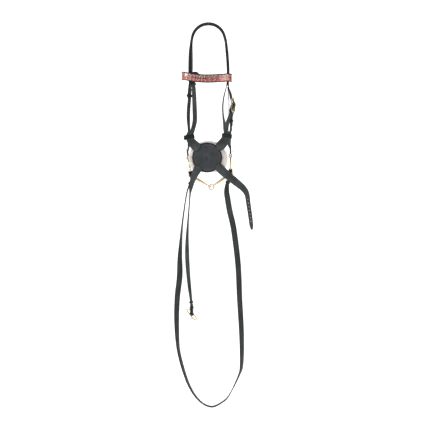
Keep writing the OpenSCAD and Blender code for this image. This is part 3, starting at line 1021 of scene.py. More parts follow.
@dataclass
class Rein(Assembly):
    """The one long rein, looped from bit ring to bit ring, with its turns and keepers."""

    length: float = 1.61
    reach: float = 21.0

    @property
    def rows(self) -> list[Row]:
        """The rein's route, from the left bit ring to the right one."""
        w = REIN_W
        return [
            (-57.7, -4.3, -453.7, 90, w), (-57.7, -7.4, -457.8, 88, w), (-61, -10, -472, 84, w),
            (-71, -9, -503, 88, w), (-81, -6, -565, 88, w), (-88, -4, -625, 79, w),
            (-94, -3, -710, 46, w), (-95, -2, -777, 6, w), (-102, -2, -840, 22, w),
            (-105, -2, -900, 32, w), (-104, -2, -960, 46, w), (-99, -2, -1020, 62, w),
            (-84, -2, -1082, 66, w), (-61, -2, -1144, 74, w), (-28, -2, -1190, 86, w),
            (10, -2, -1208, 90, w), (45, -2, -1193, 90, w), (68, -2, -1170, 86, w),
            (100, -2, -1106, 72, w), (109.4, -2, -1066, 54, w), (109, -2, -965, 34, w),
            (102.8, -2, -853, 22, w), (97.4, -3, -738, 10, w), (83.6, -4, -625, 4, w),
            (70, -6, -563, 4, w), (63, -8, -522, 10, w), (59.8, -10, -496, 30, w),
            (63.6, -10.4, -468, 62, w), (72.6, -7.8, -451.4, 89, w), (73, -4.8, -447.6, 90, w),
        ]

    def build(self) -> None:
        """Makes the rein, then what holds its ends."""
        route = stations(self.rows, REIN_T, steps=12)
        draft = Draft()
        draft.ribbon(route)
        rein = self.fit(draft.piece("rein_strap", self.finishes.rein), "root", "rein_leather", "rein")
        path = [s.at * MM for s in route]
        log.info("rein runs %.3f m", sum((b - a).length for a, b in zip(path, path[1:])))
        tuple(path[0])
        seams = []
        for at, tilt, side in RING_ENDS:
            fold = turn_route(on_ring(at, tilt, REIN_SPIN) @ turned(90, "Z"), REIN_END, RING_BORE, self.reach)
            draft = Draft()
            draft.ribbon(fold, 0.15)
            turn = draft.piece(f"rein_fold_{side}", self.finishes.keeper)
            self.fit(turn, "root", "rein_leather", f"rein_turn_{side}")
            seams += seam_lines(fold[:3], faces=Face.INNER) + seam_lines(fold[-3:], faces=Face.INNER)
        seam = stitches(seams, "rein_stitches", self.finishes.thread)
        self.fit(seam, "root", "rein_leather")
        draft = Draft()
        for row in (2, len(self.rows) - 3):
            loop = loop_route(on_strap(self.rows, row), REIN_END + 1.4, REIN_T + 2.6, 8)
            draft.ribbon(loop, 0.12, closed=True)
        keepers = draft.piece("rein_keeper_loops", self.finishes.keeper)
        self.fit(keepers, "root", "rein_leather", "rein_keepers")


@dataclass
class Crown(Assembly):
    """The headpiece over the noseband's headstrap, with its three billets."""

    leg_thick: float = 4.3
    strap_thick: float = 3.0
    arch_steps: int = 26

    @staticmethod
    def left_leg(w: float) -> list[Row]:
        """Returns the left leg's route for a width."""
        return [(-50.7, 0, 10.4, 90, w), (-54, 0, -11, 88, w), (-55.2, 0, -48, 66, w),
                (-55.6, 0, -88, 60, w), (-55.6, 0, -120, 62, w), (-50, -2.4, -147, 14, w)]

    @staticmethod
    def right_leg(w: float) -> list[Row]:
        """Returns the right leg's route for a width."""
        return [(49.6, 0, 14.8, -90, w), (54.6, 0, -6, -90, w), (58.6, 0, -44, -86, w),
                (61.6, 0, -88, -86, w), (62, 0, -120, -90, w), (60, 0, -148, -90, w)]

    def over(self, left: list[Row], right: list[Row], radius: float, width: float, thick: float,
             shift: float) -> list[Station]:
        """Returns one route up the left, over the hanger and down the right.

        Args:
            left: Rows down the left side.
            right: Rows down the right side.
            radius: Middle radius of the arch.
            width: Width over the arch.
            thick: Thickness of the strap.
            shift: How far the legs stand out from their rows.

        Returns:
            The stations.
        """
        up = stations(left, thick, shift)[::-1]
        down = [replace(s, across=-s.across) for s in stations(right, thick, shift)]
        arch = []
        first, last = 163.0, 22.0
        for k in range(self.arch_steps):
            t = math.radians(first + (last - first) * k / (self.arch_steps - 1))
            ray = Vector((math.cos(t), 0, math.sin(t)))
            arch.append(Station(ray * radius, Vector((0, 1, 0)), -ray, width, thick))
        return up + arch + down

    def billet(self, rows: list[Row]) -> list[Station]:
        """Returns a billet's route with its cut point."""
        return tipped(stations(rows, LEATHER_T), 11)

    def build(self) -> None:
        """Makes the two crown straps, the billets and their stitching."""
        mid = HANGER_R + STRAP_T / 2
        stand_off = STRAP_T / 2 + GAP + CROWN_T / 2
        crown = self.over(self.left_leg(CROWN_W), self.right_leg(CROWN_W), mid + stand_off, CROWN_W,
                          self.leg_thick, -stand_off)
        draft = Draft()
        draft.ribbon(crown, 0.3, puff=0.35)
        w = CHEEK_W
        left = [(-59.4, 1.3, -138, 66, CROWN_W - 2), (-62.2, 3.6, -158, 57, w + 4), (-64.5, 5, -182, 46, w),
                (-65.5, 6, -196, 40, w)]
        draft.ribbon(self.billet(left))
        cheek = [(65.6, -5.2, -138, -90, w), (67, -10, -156, -90, w)]
        draft.ribbon(self.billet(cheek + through_buckle(CHEEK_BUCKLE_AT, CHEEK_TURN, w)))
        throat = [(65.6, 6, -138, -90, w - 3), (67, 10, -160, -90, w - 2)]
        draft.ribbon(self.billet(throat + through_buckle(THROAT_BUCKLE_AT, SIDE_TURN, THROAT_W)))
        self.fit(draft.piece("headpiece_strap", self.finishes.strap), "root", "strap_leather", "headpiece")
        left_noseband = [(-47.5, -4, -178, 8, w + 1), (-45.5, -7, -228, 8, w + 2),
                         (-45, -11, -266, 12, w + 2),
                         (-52, -17, -298, 10, w + 1), (-59, -20, -320, 6, w)]
        right_noseband = [(51, -2, -184, -82, w), (47, -6, -218, -78, w), (48, -10, -246, -74, w),
                          (52, -15, -276, -56, w), (55, -18, -297, -26, w), (58, -20, -314, -10, w)]
        under = self.over(self.left_leg(w) + left_noseband, self.right_leg(w) + right_noseband, mid, w,
                          self.strap_thick, 0)
        draft = Draft()
        draft.ribbon(under, 0.25)
        strap = draft.piece("noseband_strap", self.finishes.strap)
        self.fit(strap, "root", "strap_leather", "noseband_headstrap")
        seam = stitches(seam_lines(crown, 2.1, Face.BOTH), "crown_stitches", self.finishes.thread)
        self.fit(seam, "root", "strap_leather")


CHEEK_BUCKLE_AT = (80, -14, -214)
THROAT_BUCKLE_AT = (80, 12, -226)
CHIN_BUCKLE_AT = (-55, -20, -902)
CHIN_TURN = 60.0
CHIN_TILT = -43.0


def through_buckle(at: Sequence[float], turn: float, w: float) -> list[Row]:
    """Returns a billet's rows down through a side buckle, over its bar and under its rails."""
    way = ((40, -8), (30, -5.6), (24, -4.2), (19.4, -3.4), (12, 2.2), (3.4, OVER_BAR), (-3.4, OVER_BAR),
           (-12, 2.6), (-19.6, -3), (-25, UNDER_RAIL), (-40, UNDER_RAIL), (-72, UNDER_RAIL))
    side, front = -math.sin(math.radians(turn)), math.cos(math.radians(turn))
    return [(at[0] + out * side, at[1] + out * front, at[2] + up, turn, w) for up, out in way]


@dataclass
class Browband(Assembly):
    """The browband: padded leather, rolled edges and five rows of set stones."""

    height: float = 27.0
    thick: float = 3.0
    stone_r: float = 2.0
    row_pitch: float = 4.2
    column_pitch: float = 4.25
    edge_r: float = 1.55
    grid_columns: tuple[int, int] = (11, 21)

    @property
    def rows(self) -> list[Row]:
        """The band's route from its left end to its right end."""
        h = self.height
        return [(-86, -3, -118.5, 0, h), (-82, -14, -118.5, 0, h), (-68, -21, -122, 0, h),
                (-36, -28, -128, 0, h),
                (0, -32, -130, 0, h), (36, -28, -128, 0, h), (62, -20, -125, 0, h), (72, -12, -124.5, 0, h),
                (75, -2, -124, 0, h)]

    @property
    def loops(self) -> dict[str, list[Row]]:
        """The routes of the two loops that the cheeks pass through."""
        return {
            "left": [(-86, -1.6, -118, 0, 22), (-82, 9, -118, 0, 22), (-66, 18, -115, 0, 22),
                     (-46, 14, -112, 0, 22), (-37, 0, -116, 0, 22), (-34, -14, -121, 0, 22),
                     (-27, -23.6, -126, 0, 22), (-14, -26.6, -128, 0, 22)],
            "right": [(75, -1, -124, 0, 22), (74.5, 10, -123, 0, 22), (67, 16, -122, 0, 22),
                      (57, 14, -122, 0, 22), (51, 2, -122, 0, 22), (48, -10, -123, 0, 22),
                      (42, -22.2, -125, 0, 22), (31, -25.4, -126, 0, 22)],
        }

    def stone(self, column: int, row: int) -> StoneKind:
        """Returns which stone is set at a column and a row from the middle."""
        first, last = self.grid_columns
        if first <= column < last and abs(row) < 2:
            return StoneKind.CLEAR if column % 2 and row % 2 else StoneKind.RED
        if abs(row) == 2:
            return StoneKind.CLEAR if (column + row) % 3 == 0 else StoneKind.ROSE
        mix = (StoneKind.ROSE, StoneKind.ROSE, StoneKind.CLEAR, StoneKind.ROSE, StoneKind.RED, StoneKind.ROSE)
        return mix[(2 * column + 3 * row + column // 5) % len(mix)]

    def build(self) -> None:
        """Makes the band, its loops, its rolled edges and its stones."""
        route = stations(self.rows, self.thick, upright=True, steps=10)
        draft = Draft()
        draft.ribbon(route, 0.2)
        band = draft.piece("browband_leather", self.finishes.keeper)
        self.fit(band, "root", "browband_leather", "browband_band")
        for side, rows in self.loops.items():
            draft = Draft()
            draft.ribbon(stations(rows, 2.4, upright=True, steps=8), 0.15)
            loop = draft.piece(f"browband_end_{side}", self.finishes.keeper)
            self.fit(loop, "root", "browband_leather", f"browband_loop_{side}")
        draft = Draft()
        edge = self.height / 2 - self.edge_r
        for side in (-1, 1):
            line = [s.point(side * edge, self.thick / 2 + 0.5) for s in route]
            draft.pipe(line, self.edge_r, self.edge_r, Vector((0, 0, 1)), False, 10)
        edges = draft.piece("browband_rolled_edges", self.finishes.piping)
        self.fit(edges, "root", "edge_piping", "browband_channel")
        bed = [replace(s, at=s.point(0, self.thick / 2), width=2 * edge - 1, thick=0.5) for s in route]
        draft = Draft()
        draft.ribbon(bed, 0.05)
        self.fit(draft.piece("browband_setting", self.finishes.setting), "root", "stones")
        self.set_stones(route)
        seams = [[s.point(side * (edge - 1.5), -self.thick / 2) for s in route] for side in (-1, 1)]
        self.fit(stitches(seams, "browband_stitches", self.finishes.thread), "root", "browband_leather")

    def set_stones(self, route: list[Station]) -> None:
        """Sets the stones along the band, one piece for each kind and one for their cups."""
        kinds: dict[StoneKind, list] = {kind: [] for kind in StoneKind}
        cups = []
        line = spaced(route, self.column_pitch)
        for column, here in enumerate(line[1:-1]):
            course = here.out.cross(here.across)
            for row in range(-2, 3):
                seat = here.point(row * self.row_pitch, self.thick / 2 + 1.1)
                kinds[self.stone(column, row)].append((seat, here.out, course))
                cups.append((here.point(row * self.row_pitch, self.thick / 2 + 0.2), here.out, course))
        for kind, places in kinds.items():
            cut = {
                "Radius": self.stone_r * MM, "Height": 1.1 * MM, "Table": 0.55,
                "Finish": self.finishes.stones[kind],
            }
            stones = set_on(places, f"browband_{kind.value}_stones", cut)
            nodes = ("browband_stones",) if kind is StoneKind.ROSE else ()
            self.fit(stones, "root", "stones", *nodes)
        cup = {
            "Radius": (self.stone_r + 0.12) * MM, "Height": 0.95 * MM, "Table": 0.98,
            "Finish": self.finishes.setting,
        }
        self.fit(set_on(cups, "browband_stone_cups", cup), "root", "stones")


def spaced(route: Sequence[Station], pitch: float) -> list[Station]:
    """Returns stations at equal distances along a route.

    Args:
        route: The strap's sections.
        pitch: Distance between two stations.

    Returns:
        The stations, the first at the route's start.
    """
    found, far, due = [], 0.0, 0.0
    for here, then in zip(route, route[1:]):
        step = (then.at - here.at).length
        while due <= far + step:
            t = (due - far) / step
            at, across = here.at.lerp(then.at, t), here.across.lerp(then.across, t).normalized()
            out = here.out.lerp(then.out, t).normalized()
            found.append(Station(at, across, out, here.width + (then.width - here.width) * t, here.thick))
            due += pitch
        far += step
    return found


@dataclass
class Cheeks(Assembly):
    """The cheekpieces and the throatlash, with their folds, keepers and sliding loop."""

    ring_reach: float = 26.0
    buckle_reach: float = 18.0
    keeper_down: float = -33.0
    slider_down: float = -52.0

    @property
    def left(self) -> list[Row]:
        """The left cheekpiece's route."""
        w = CHEEK_W
        return [(-59.4, 1.6, -158, 56, w), (-61.9, 2.4, -182, 46, w), (-63.1, 3.1, -196, 40, w),
                (-65.8, 4.4, -226, 28, w), (-66.6, 6, -256, 34, w), (-64.5, 9, -292, 56, w),
                (-62.5, 17, -322, 30, w),
                (-65.6, 26, -344, 62, w), (-67.1, 30, -362, 90, w)]

    @property
    def right(self) -> list[Row]:
        """The right cheekpiece's route."""
        w = CHEEK_W
        return [(73, -11.2, -232.4, CHEEK_TURN, w), (73, -11.2, -262, CHEEK_TURN, w),
                (73, -11, -289, -108, w), (71, -1, -315, -126, w), (68.5, 17, -337, -142, w),
                 (71.6, 27.4, -350, -112, w), (73, 30, -360, -90, w)]

    @property
    def throat(self) -> list[Row]:
        """The throatlash's route."""
        w = THROAT_W
        return [(72.4, 12, -244.4, -90, w), (72.6, 12, -276, -90, w), (72.8, 12, -298, -90, w),
                (69, 12, -308.6, -90, w), (65, 12, -300, -90, w), (66, 12, -278, -90, w),
                (67.2, 12.6, -244, -90, w), (67.8, 13, -204, -90, w), (65, 11, -168, -90, w - 1),
                (63.4, 9.6, -152, -90, w - 2)]

    def strap(self, name: str, node: str, rows: list[Row], folds: list[list[Station]]) -> list[list[Vector]]:
        """Makes a strap with its folded ends, and returns the lines of their stitches."""
        draft = Draft()
        draft.ribbon(stations(rows, LEATHER_T, steps=8))
        lines = []
        for fold in folds:
            draft.ribbon(fold, 0.15)
            lines += seam_lines(fold[:3], faces=Face.INNER) + seam_lines(fold[-3:], faces=Face.INNER)
        self.fit(draft.piece(name, self.finishes.strap), "root", "strap_leather", node)
        return lines

    def build(self) -> None:
        """Makes the three straps, then their keepers."""
        ring_left = on_ring(LEFT_RING_AT, LEFT_TILT, 0) @ turned(90, "Z")
        ring_right = on_ring(RIGHT_RING_AT, 0, 0) @ turned(90, "Z")
        seams = self.strap("cheek_strap_left", "cheekpiece_left", self.left,
                           [turn_route(ring_left, CHEEK_W, RING_BORE, self.ring_reach)])
        top = at_buckle(CHEEK_BUCKLE_AT, CHEEK_TURN) @ turned(180, "X")
        seams += self.strap("cheek_strap_right", "cheekpiece_right", self.right,
                            [turn_route(ring_right, CHEEK_W, RING_BORE, self.ring_reach),
                             turn_route(top, CHEEK_W, BAR_BORE, self.buckle_reach, -LEAN)])
        top = at_buckle(THROAT_BUCKLE_AT, SIDE_TURN) @ turned(180, "X")
        seams += self.strap("throatlash_strap", "throatlash", self.throat,
                            [turn_route(top, THROAT_W, BAR_BORE, self.buckle_reach, -LEAN)])
        self.fit(stitches(seams, "cheek_stitches", self.finishes.thread), "root", "strap_leather")
        self.loop("cheek_keeper_left", on_strap(self.left, 1, -1.7), (CHEEK_W + 2.6, 8, 8))
        cheek = at_buckle(CHEEK_BUCKLE_AT, CHEEK_TURN)
        throat = at_buckle(THROAT_BUCKLE_AT, SIDE_TURN)
        self.tail_loop("cheek_keeper_right", cheek, (CHEEK_W, 8), self.keeper_down, "root")
        self.tail_loop("cheek_slider", cheek, (CHEEK_W, 8), self.slider_down, "cheek_slider")
        self.tail_loop("throat_keeper", throat, (THROAT_W, 7), self.keeper_down, "root")

    def tail_loop(self, name: str, stand: Matrix, size: tuple[float, float], down: float, body: str) -> None:
        """Makes a keeper round a strap and a billet's tail, below a side buckle.

        Args:
            name: The node.
            stand: The buckle's frame.
            size: The strap's width and the keeper's height.
            down: How far below the bar it sits.
            body: The body that it rides on.
        """
        middle = Matrix.Translation((0, (UNDER_RAIL + LEAN) / 2, down))
        deep = UNDER_RAIL - LEAN + LEATHER_T + 2 * GAP
        self.loop(name, stand @ middle, (size[0] + 1, deep, size[1]), body)


@dataclass
class Buckles(Assembly):
    """The three centre-bar buckles and their tongues."""

    corner: float = 6.2
    eye_wall: float = 0.55
    tongue_r: float = 1.2
    bar_room: float = 2.6

    def build(self) -> None:
        """Makes each buckle's frame and tongue."""
        sides = (("cheek", CHEEK_BUCKLE_AT, CHEEK_TURN, CHEEK_W),
                 ("throat", THROAT_BUCKLE_AT, SIDE_TURN, THROAT_W))
        for name, at, turn, width in sides:
            stand = at_buckle(at, turn)
            self.frame(name, stand, width, "root")
            self.tongue(name, stand @ turned(-8, "X"), 25)
        stand = at_buckle(CHIN_BUCKLE_AT, CHIN_TURN)
        self.frame("chin", stand @ turned(CHIN_TILT, "X"), 14, "chin_buckle")
        self.tongue("chin", stand @ turned(180, "X"), 25.5)

    def frame(self, name: str, stand: Matrix, width: float, body: str) -> None:
        """Makes a buckle's rounded frame and its centre bar."""
        a = (width + self.bar_room + RAIL) / 2
        b = (BUCKLE_L - RAIL) / 2
        steps = 7
        path = []
        for quarter, (sx, sz) in enumerate(((1, 1), (-1, 1), (-1, -1), (1, -1))):
            for k in range(steps + 1):
                t = math.radians(90 * (quarter + k / steps))
                x = sx * (a - self.corner) + self.corner * math.cos(t)
                z = sz * (b - self.corner) + self.corner * math.sin(t)
                path.append(stand @ Vector((x, 0, z)))
        outward = stand.to_3x3() @ Vector((0, 1, 0))
        draft = Draft()
        draft.pipe(path, RAIL / 2, FRAME_T / 2, outward, True, 14)
        draft.pipe([stand @ Vector((x, 0, 0)) for x in (-a, 0, a)], BAR_R, BAR_R, outward, False)
        self.fit(draft.piece(f"{name}_buckle_frame", self.finishes.brass), body, "buckle_metal",
                 f"{name}_buckle")

    def tongue(self, name: str, stand: Matrix, length: float) -> None:
        """Makes a tongue with its rolled eye on the bar."""
        draft = Draft()
        eye_r = BAR_R + 0.1 + self.eye_wall
        ring = [2 * math.pi * k / 20 for k in range(20)]
        path = [stand @ Vector((0, eye_r * math.cos(t), eye_r * math.sin(t))) for t in ring]
        draft.pipe(path, self.eye_wall, 1.8, stand.to_3x3() @ Vector((1, 0, 0)), True, 10)
        start = eye_r
        profile = [(start, 1.4), (start + 2, self.tongue_r), (length - 3, self.tongue_r), (length - 1, 1.0),
                   (length - 0.2, 0.55)]
        draft.rod(stand, profile, 12)
        piece = draft.piece(f"{name}_buckle_tongue", self.finishes.brass)
        self.fit(piece, f"{name}_tongue", "buckle_metal", f"{name}_tongue")


@dataclass
class NosePiece(Assembly):
    """The round nose disc with its rolled rim, its sheepskin and the two arms above."""

    disc_at: tuple[float, float, float] = (-4, -28, -388)
    disc_r: float = 47.5
    disc_t: float = 4.0
    rim_r: float = 2.6
    arm_t: float = 3.0
    wool_length: float = 5.2
    wool_density: float = 360000.0
    lock_width: float = 1.1
    cap: float = 6.0

    @property
    def arms(self) -> dict[str, list[Row]]:
        """The routes of the two arms from the disc up to the loops."""
        return {
            "left": [(-31, -33, -361, 0, 29), (-44, -33, -349, 0, 31), (-56, -30, -335, 2, 28),
                     (-63, -26, -320, 8, 22), (-62, -23, -306, 12, 16)],
            "right": [(29, -33, -359, 0, 30), (42, -33, -347, 0, 32), (53.5, -30, -332, -4, 30),
                      (60, -26, -316, -10, 24), (60, -24.5, -302, -18, 16)],
        }

    def build(self) -> None:
        """Makes the disc, its rim, the wool, the arms and their loops."""
        stand = Matrix.Translation(self.disc_at) @ turned(90, "X")
        edge, half = self.disc_r - 1, self.disc_t / 2
        draft = Draft()
        dome = [(0.01, half + 1.0), (edge * 0.35, half + 0.9), (edge * 0.7, half + 0.55),
                (edge * 0.84, half + 0.1),
                (edge * 0.87, half - 0.35), (edge * 0.9, half), (edge, half - 0.1), (edge, -half),
                (0.01, -half)]
        draft.lathe(dome, stand, 96)
        self.fit(draft.piece("nose_disc_leather", self.finishes.disc), "root", "disc_leather", "nose_disc")
        turn = [2 * math.pi * k / 96 for k in range(96)]
        draft = Draft()
        rim = [stand @ Vector((edge * math.cos(t), edge * math.sin(t), 0)) for t in turn]
        draft.pipe(rim, self.rim_r, self.rim_r, Vector((0, 1, 0)), True, 14)
        self.fit(draft.piece("nose_disc_roll", self.finishes.piping), "root", "disc_leather", "nose_disc_rim")
        seams = []
        for radius, lift in ((edge * 0.93, half - 0.05), (edge * 0.87, half - 0.3)):
            line = [stand @ Vector((radius * math.cos(t), radius * math.sin(t), lift)) for t in turn]
            seams.append(line + line[:1])
        for side, rows in self.arms.items():
            route = stations(rows, self.arm_t, steps=8)
            draft = Draft()
            draft.ribbon(tipped(route[::-1], 7), 0.25, puff=0.3)
            arm = draft.piece(f"nose_arm_{side}", self.finishes.strap)
            self.fit(arm, "root", "strap_leather", f"noseband_arm_{side}")
            seams += seam_lines(route[3:], 2.3, Face.BOTH)
        self.fit(stitches(seams, "nose_stitches", self.finishes.thread), "root", "disc_leather")
        tab = [(73, -26.5, -243, -15, 11), (68, -27, -259, -10, 12.5), (61, -28, -279, -6, 14),
               (55.5, -29.8, -303, -4, 15)]
        route = stations(tab, LEATHER_T, steps=8)
        draft = Draft()
        draft.ribbon(tipped(route, 6))
        self.fit(draft.piece("nose_crossing_tab", self.finishes.strap), "root", "strap_leather",
                 "noseband_tab")
        self.fit(stitches(seam_lines(route[2:-4]), "tab_stitches", self.finishes.thread), "root",
                 "strap_leather")
        self.loop("noseband_loop_left", on_strap(self.arms["left"], 3, 3.6), (31.5, 12.4, 12), puff=0.5)
        self.loop("noseband_loop_right", on_strap(self.arms["right"], 3, 3.2), (29, 12.4, 12), puff=0.5)
        self.wool()

    def wool(self) -> None:
        """Makes the sheepskin: a puffed pad and the locks that grow from it."""
        pad = puffed("nose_pad", "sheepskin_pad", self.finishes.wool, 0.95, self.cap)
        base = pad.copy()
        base.data = pad.data.copy()
        bpy.context.scene.collection.objects.link(base)
        shape = bmesh.new()
        shape.from_mesh(base.data)
        middle = Vector(self.disc_at) * MM
        hidden = (self.disc_r + self.rim_r - 1) * MM
        covered = []
        for face in shape.faces:
            away = face.calc_center_median() - middle
            if face.normal.y < -0.2 and math.hypot(away.x, away.z) < hidden:
                covered.append(face)
        bmesh.ops.delete(shape, geom=covered, context="FACES")
        shape.to_mesh(base.data)
        shape.free()
        values = {
            "Density": self.wool_density, "Width": self.lock_width * MM, "Length": self.wool_length * MM,
            "Finish": self.finishes.wool,
        }
        locks = repeated(base, wool_tree(), "sheepskin_locks", values)
        self.fit(pad, "root", "sheepskin", "nose_pad")
        self.fit(locks, "root", "sheepskin")


def puffed(node: str, name: str, material: Material, start: float, cap: float) -> Piece:
    """Returns a soft pad blown up from a CAD node with cloth.

    Args:
        node: The CAD node.
        name: Name of the piece.
        material: Its finish.
        start: Share of the node's size that the pad starts from.
        cap: Most that a point may move, in millimetres.

    Returns:
        The pad.
    """
    shape = bmesh.new()
    shape.from_mesh(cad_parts[node].data)
    bmesh.ops.remove_doubles(shape, verts=shape.verts, dist=1e-5)
    low, high = (Vector(corner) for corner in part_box(node))
    middle = (low + high) / 2
    for vertex in shape.verts:
        vertex.co = middle + (vertex.co - middle) * start
    mesh = bpy.data.meshes.new(name)
    shape.to_mesh(mesh)
    shape.free()
    pad = bpy.data.objects.new(name, mesh)
    bpy.context.scene.collection.objects.link(pad)
    voxel = pad.modifiers.new("voxels", "REMESH")
    voxel.mode, voxel.voxel_size = "VOXEL", 5 * MM
    bake(pad)
    rest = [v.co.copy() for v in pad.data.vertices]
    cloth = pad.modifiers.new("cloth", "CLOTH")
    cloth.settings.use_pressure = True
    cloth.settings.uniform_pressure_force = 4
    cloth.settings.effector_weights.gravity = 0
    cloth.point_cache.frame_start, cloth.point_cache.frame_end = 1, 20
    for step in range(1, 21):
        bpy.context.scene.frame_set(step)
    bake(pad)
    bpy.context.scene.frame_set(1)
    for vertex, before in zip(pad.data.vertices, rest):
        moved = vertex.co - before
        vertex.co = before + moved * min(1.0, cap * MM / max(moved.length, 1e-9))
        vertex.co.y = max(vertex.co.y, low.y + 0.4 * MM)
    smooth = pad.modifiers.new("smooth", "SUBSURF")
    smooth.levels = smooth.render_levels = 1
    bake(pad)
    pad.data.polygons.foreach_set("use_smooth", [True] * len(pad.data.polygons))
    pad.data.materials.clear()
    pad.data.materials.append(material)
    return pad


def bake(piece: Piece) -> None:
    """Turns a piece's modifiers into its mesh."""
    bpy.context.view_layer.update()
    evaluated = piece.evaluated_get(bpy.context.evaluated_depsgraph_get())
    mesh = bpy.data.meshes.new_from_object(evaluated)
    piece.modifiers.clear()
    piece.data = mesh


@dataclass
class LowerStraps(Assembly):
    """The noseband's two lower straps: one to the chin buckle, one punched and pointed."""

    first_hole: float = 130.0
    hole_pitch: float = 12.0
    holes: int = 7
    hole_r: float = 1.1

    @property
    def strap_rows(self) -> list[Row]:
        """The long lower strap's route, from the disc to the chin buckle."""
        return [(-28, -33, -416, 0, 27), (-40, -33, -434, 0, 26), (-49, -32, -455, 0, 20),
                (-56, -30, -480, 20, 15),
                (-60, -28, -510, 78, 14), (-65, -26, -575, 80, 14), (-69.6, -24, -650, 52, 14),
                (-69.6, -22, -716, 10, 14),
                (-65.6, -21, -777, 30, 14), (-61, -20, -822, 46, 14), (-58.2, -20, -844, 57, 14),
                (-56.4, -20, -862, 60, 14), (-55.1, -20, -876.3, 60, 14)]

    @property
    def billet_rows(self) -> list[Row]:
        """The pointed lower billet's route, from the disc to its tip."""
        return [(28, -33, -413, 0, 27), (44, -33, -430, 0, 28), (66, -33, -449, 0, 26),
                (92, -32, -470, 0, 24),
                (114, -30, -489, 4, 21), (126, -28, -508, 12, 17), (131, -26, -540, 16, 15),
                (137, -24, -580, 14, 14), (141, -23, -612, 12, 13), (142.5, -23, -625, 12, 13)]

    def build(self) -> None:
        """Makes both straps, the buckle's fold and its keepers."""
        route = stations(self.strap_rows, LEATHER_T, steps=10)
        draft = Draft()
        draft.ribbon(tipped(route[::-1], 7))
        self.fit(draft.piece("lower_strap_leather", self.finishes.strap), "root", "strap_leather",
                 "lower_strap")
        seams = seam_lines(stretch(route, 6, 85), 2.3, Face.BOTH)
        billet = stations(self.billet_rows, LEATHER_T, steps=12)
        draft = Draft()
        draft.ribbon(tipped(tipped(billet[::-1], 7)[::-1], 15))
        leather = draft.piece("lower_billet_leather", self.finishes.strap)
        punches = [s for s in spaced(billet, self.hole_pitch) if s.at.z < -self.first_hole * 4][: self.holes]
        punch(leather, punches, self.hole_r)
        self.fit(leather, "root", "strap_leather", "lower_billet")
        seams += seam_lines(stretch(billet, 6, 150), 2.3, Face.BOTH)
        stand = at_buckle(CHIN_BUCKLE_AT, CHIN_TURN)
        fold = turn_route(stand, 14, BAR_BORE, 25)
        draft = Draft()
        draft.ribbon(fold, 0.15)
        self.fit(draft.piece("chin_fold", self.finishes.keeper), "root", "keeper_leather", "chin_turn")
        seams += seam_lines(fold[1:3], faces=Face.INNER) + seam_lines(fold[-3:-1], faces=Face.INNER)
        self.fit(stitches(seams, "lower_strap_stitches", self.finishes.thread), "root", "strap_leather")
        self.loop("chin_keeper", stand @ Matrix.Translation((0, 0, 22)), (15, 6.2, 4))
        self.loop("chin_slider", on_strap(self.strap_rows, 11), (15, 4.2, 6), "chin_slider")


def punch(piece: Piece, places: Iterable[Station], radius: float) -> None:
    """Cuts round holes through a strap.

    Args:
        piece: The strap.
        places: Sections of the strap at the holes.
        radius: Radius of a hole.
    """
    draft = Draft()
    depth = 2 * LEATHER_T
    for here in places:
        draft.pipe([here.point(0, -depth), here.point(0, depth)], radius, radius, here.across, False)
    cutter = draft.piece("cutter", piece.data.materials[0])
    cut = piece.modifiers.new("holes", "BOOLEAN")
    cut.operation, cut.solver, cut.object = "DIFFERENCE", "EXACT", cutter
    bake(piece)
    bpy.data.objects.remove(cutter)


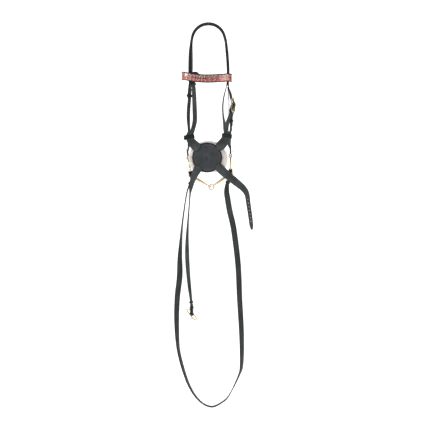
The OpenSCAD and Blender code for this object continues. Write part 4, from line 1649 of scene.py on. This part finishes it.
@dataclass
class Bit(Assembly):
    """The jointed bit: two loose rings and two tapered mouthpiece halves."""

    boss_r: float = 8.8
    boss_w: float = 13.0
    hole_r: float = 4.4
    half_length: float = 77.6
    eye_r: float = 8.4
    eye_wire: float = 2.1
    left_droop: float = 29.5
    right_droop: float = 35.3

    def build(self) -> None:
        """Makes the rings, the mouthpiece halves and the studs at the rings."""
        for at, tilt, side in RING_ENDS:
            stand = Matrix.Translation(at) @ turned(tilt, "Y")
            turn = [2 * math.pi * k / 96 for k in range(96)]
            path = [stand @ Vector((0, RING_R * math.cos(t), RING_R * math.sin(t))) for t in turn]
            draft = Draft()
            draft.pipe(path, RING_WIRE, RING_WIRE, stand.to_3x3() @ Vector((1, 0, 0)), True, 18)
            ring = draft.piece(f"loose_ring_{side}", self.finishes.bit)
            self.fit(ring, f"bit_ring_{side}", "bit_metal", f"bit_ring_{side}")
        left = on_ring(LEFT_RING_AT, LEFT_TILT, 180) @ turned(LEFT_TILT, "Y") @ turned(180, "X")
        right = on_ring(RIGHT_RING_AT, 0, 180) @ turned(180, "X")
        self.half("left", left @ turned(self.left_droop, "Y"), self.half_length - self.eye_r, 0)
        self.half("right", right @ turned(180 - self.right_droop, "Y"), self.half_length, 90)
        self.studs()

    def half(self, side: str, stand: Matrix, eye_at: float, twist: float) -> None:
        """Makes one half of the mouthpiece, from its ring hole along +X to its eye."""
        draft = Draft()
        r, w, hole = self.boss_r, self.boss_w / 2, self.hole_r
        outline = [(hole, 0.0), (hole + 0.2, w - 0.9), (hole + 1.1, w), (r - 1.8, w - 0.4),
                   (r - 0.4, w - 2.6),
                   (r, 0.0), (r - 0.4, 2.6 - w), (r - 1.8, 0.4 - w), (hole + 1.1, -w), (hole + 0.2, 0.9 - w)]
        draft.lathe(outline, stand @ turned(90, "X"), 36)
        neck = eye_at - self.eye_r
        profile = []
        for k in range(15):
            s = k / 14
            radius = 3.0 + 3.3 * (1 - s) ** 0.9 + 0.35 * math.sin(math.pi * s)
            profile.append((6.0 + (neck - 6.0) * s, radius))
        draft.rod(stand @ turned(90, "Y"), profile, 24)
        eye = stand @ Matrix.Translation((eye_at, 0, 0)) @ turned(twist, "X")
        turn = [2 * math.pi * k / 40 for k in range(40)]
        path = [eye @ Vector((self.eye_r * math.cos(t), self.eye_r * math.sin(t), 0)) for t in turn]
        draft.pipe(path, self.eye_wire, self.eye_wire, eye.to_3x3() @ Vector((0, 0, 1)), True, 14)
        piece = draft.piece(f"mouthpiece_{side}", self.finishes.bit)
        self.fit(piece, f"cannon_{side}", "bit_metal", f"cannon_{side}")

    def studs(self) -> None:
        """Makes the round-headed studs that close the folds on the rings."""
        draft = Draft()
        head = [(0, 3.0), (0.5, 3.15), (1.3, 2.95), (2.0, 2.2), (2.5, 1.1), (2.6, 0.3)]
        for at, tilt, side in RING_ENDS:
            sign = -1 if side == "left" else 1
            for spin, stand_off in ((0, 5.5), (REIN_SPIN, 5.0)):
                wire = on_ring(at, tilt, spin) @ Matrix.Translation((sign * stand_off, 0, 14))
                draft.rod(wire @ turned(sign * 90, "Y"), head, 20)
        self.fit(draft.piece("fold_studs", self.finishes.brass), "root", "buckle_metal", "hook_studs")


def main() -> None:
    """Builds the room and each sub-assembly, then writes both boxes."""
    logging.basicConfig(level=logging.INFO, format="%(name)s: %(message)s")
    Studio().build()
    finishes = Finishes()
    for part in (Rein, Crown, Browband, Cheeks, Buckles, NosePiece, LowerStraps, Bit):
        log.info("%s", part.__doc__.splitlines()[0])
        part(finishes).build()


if __name__ == "__main__":
    main()
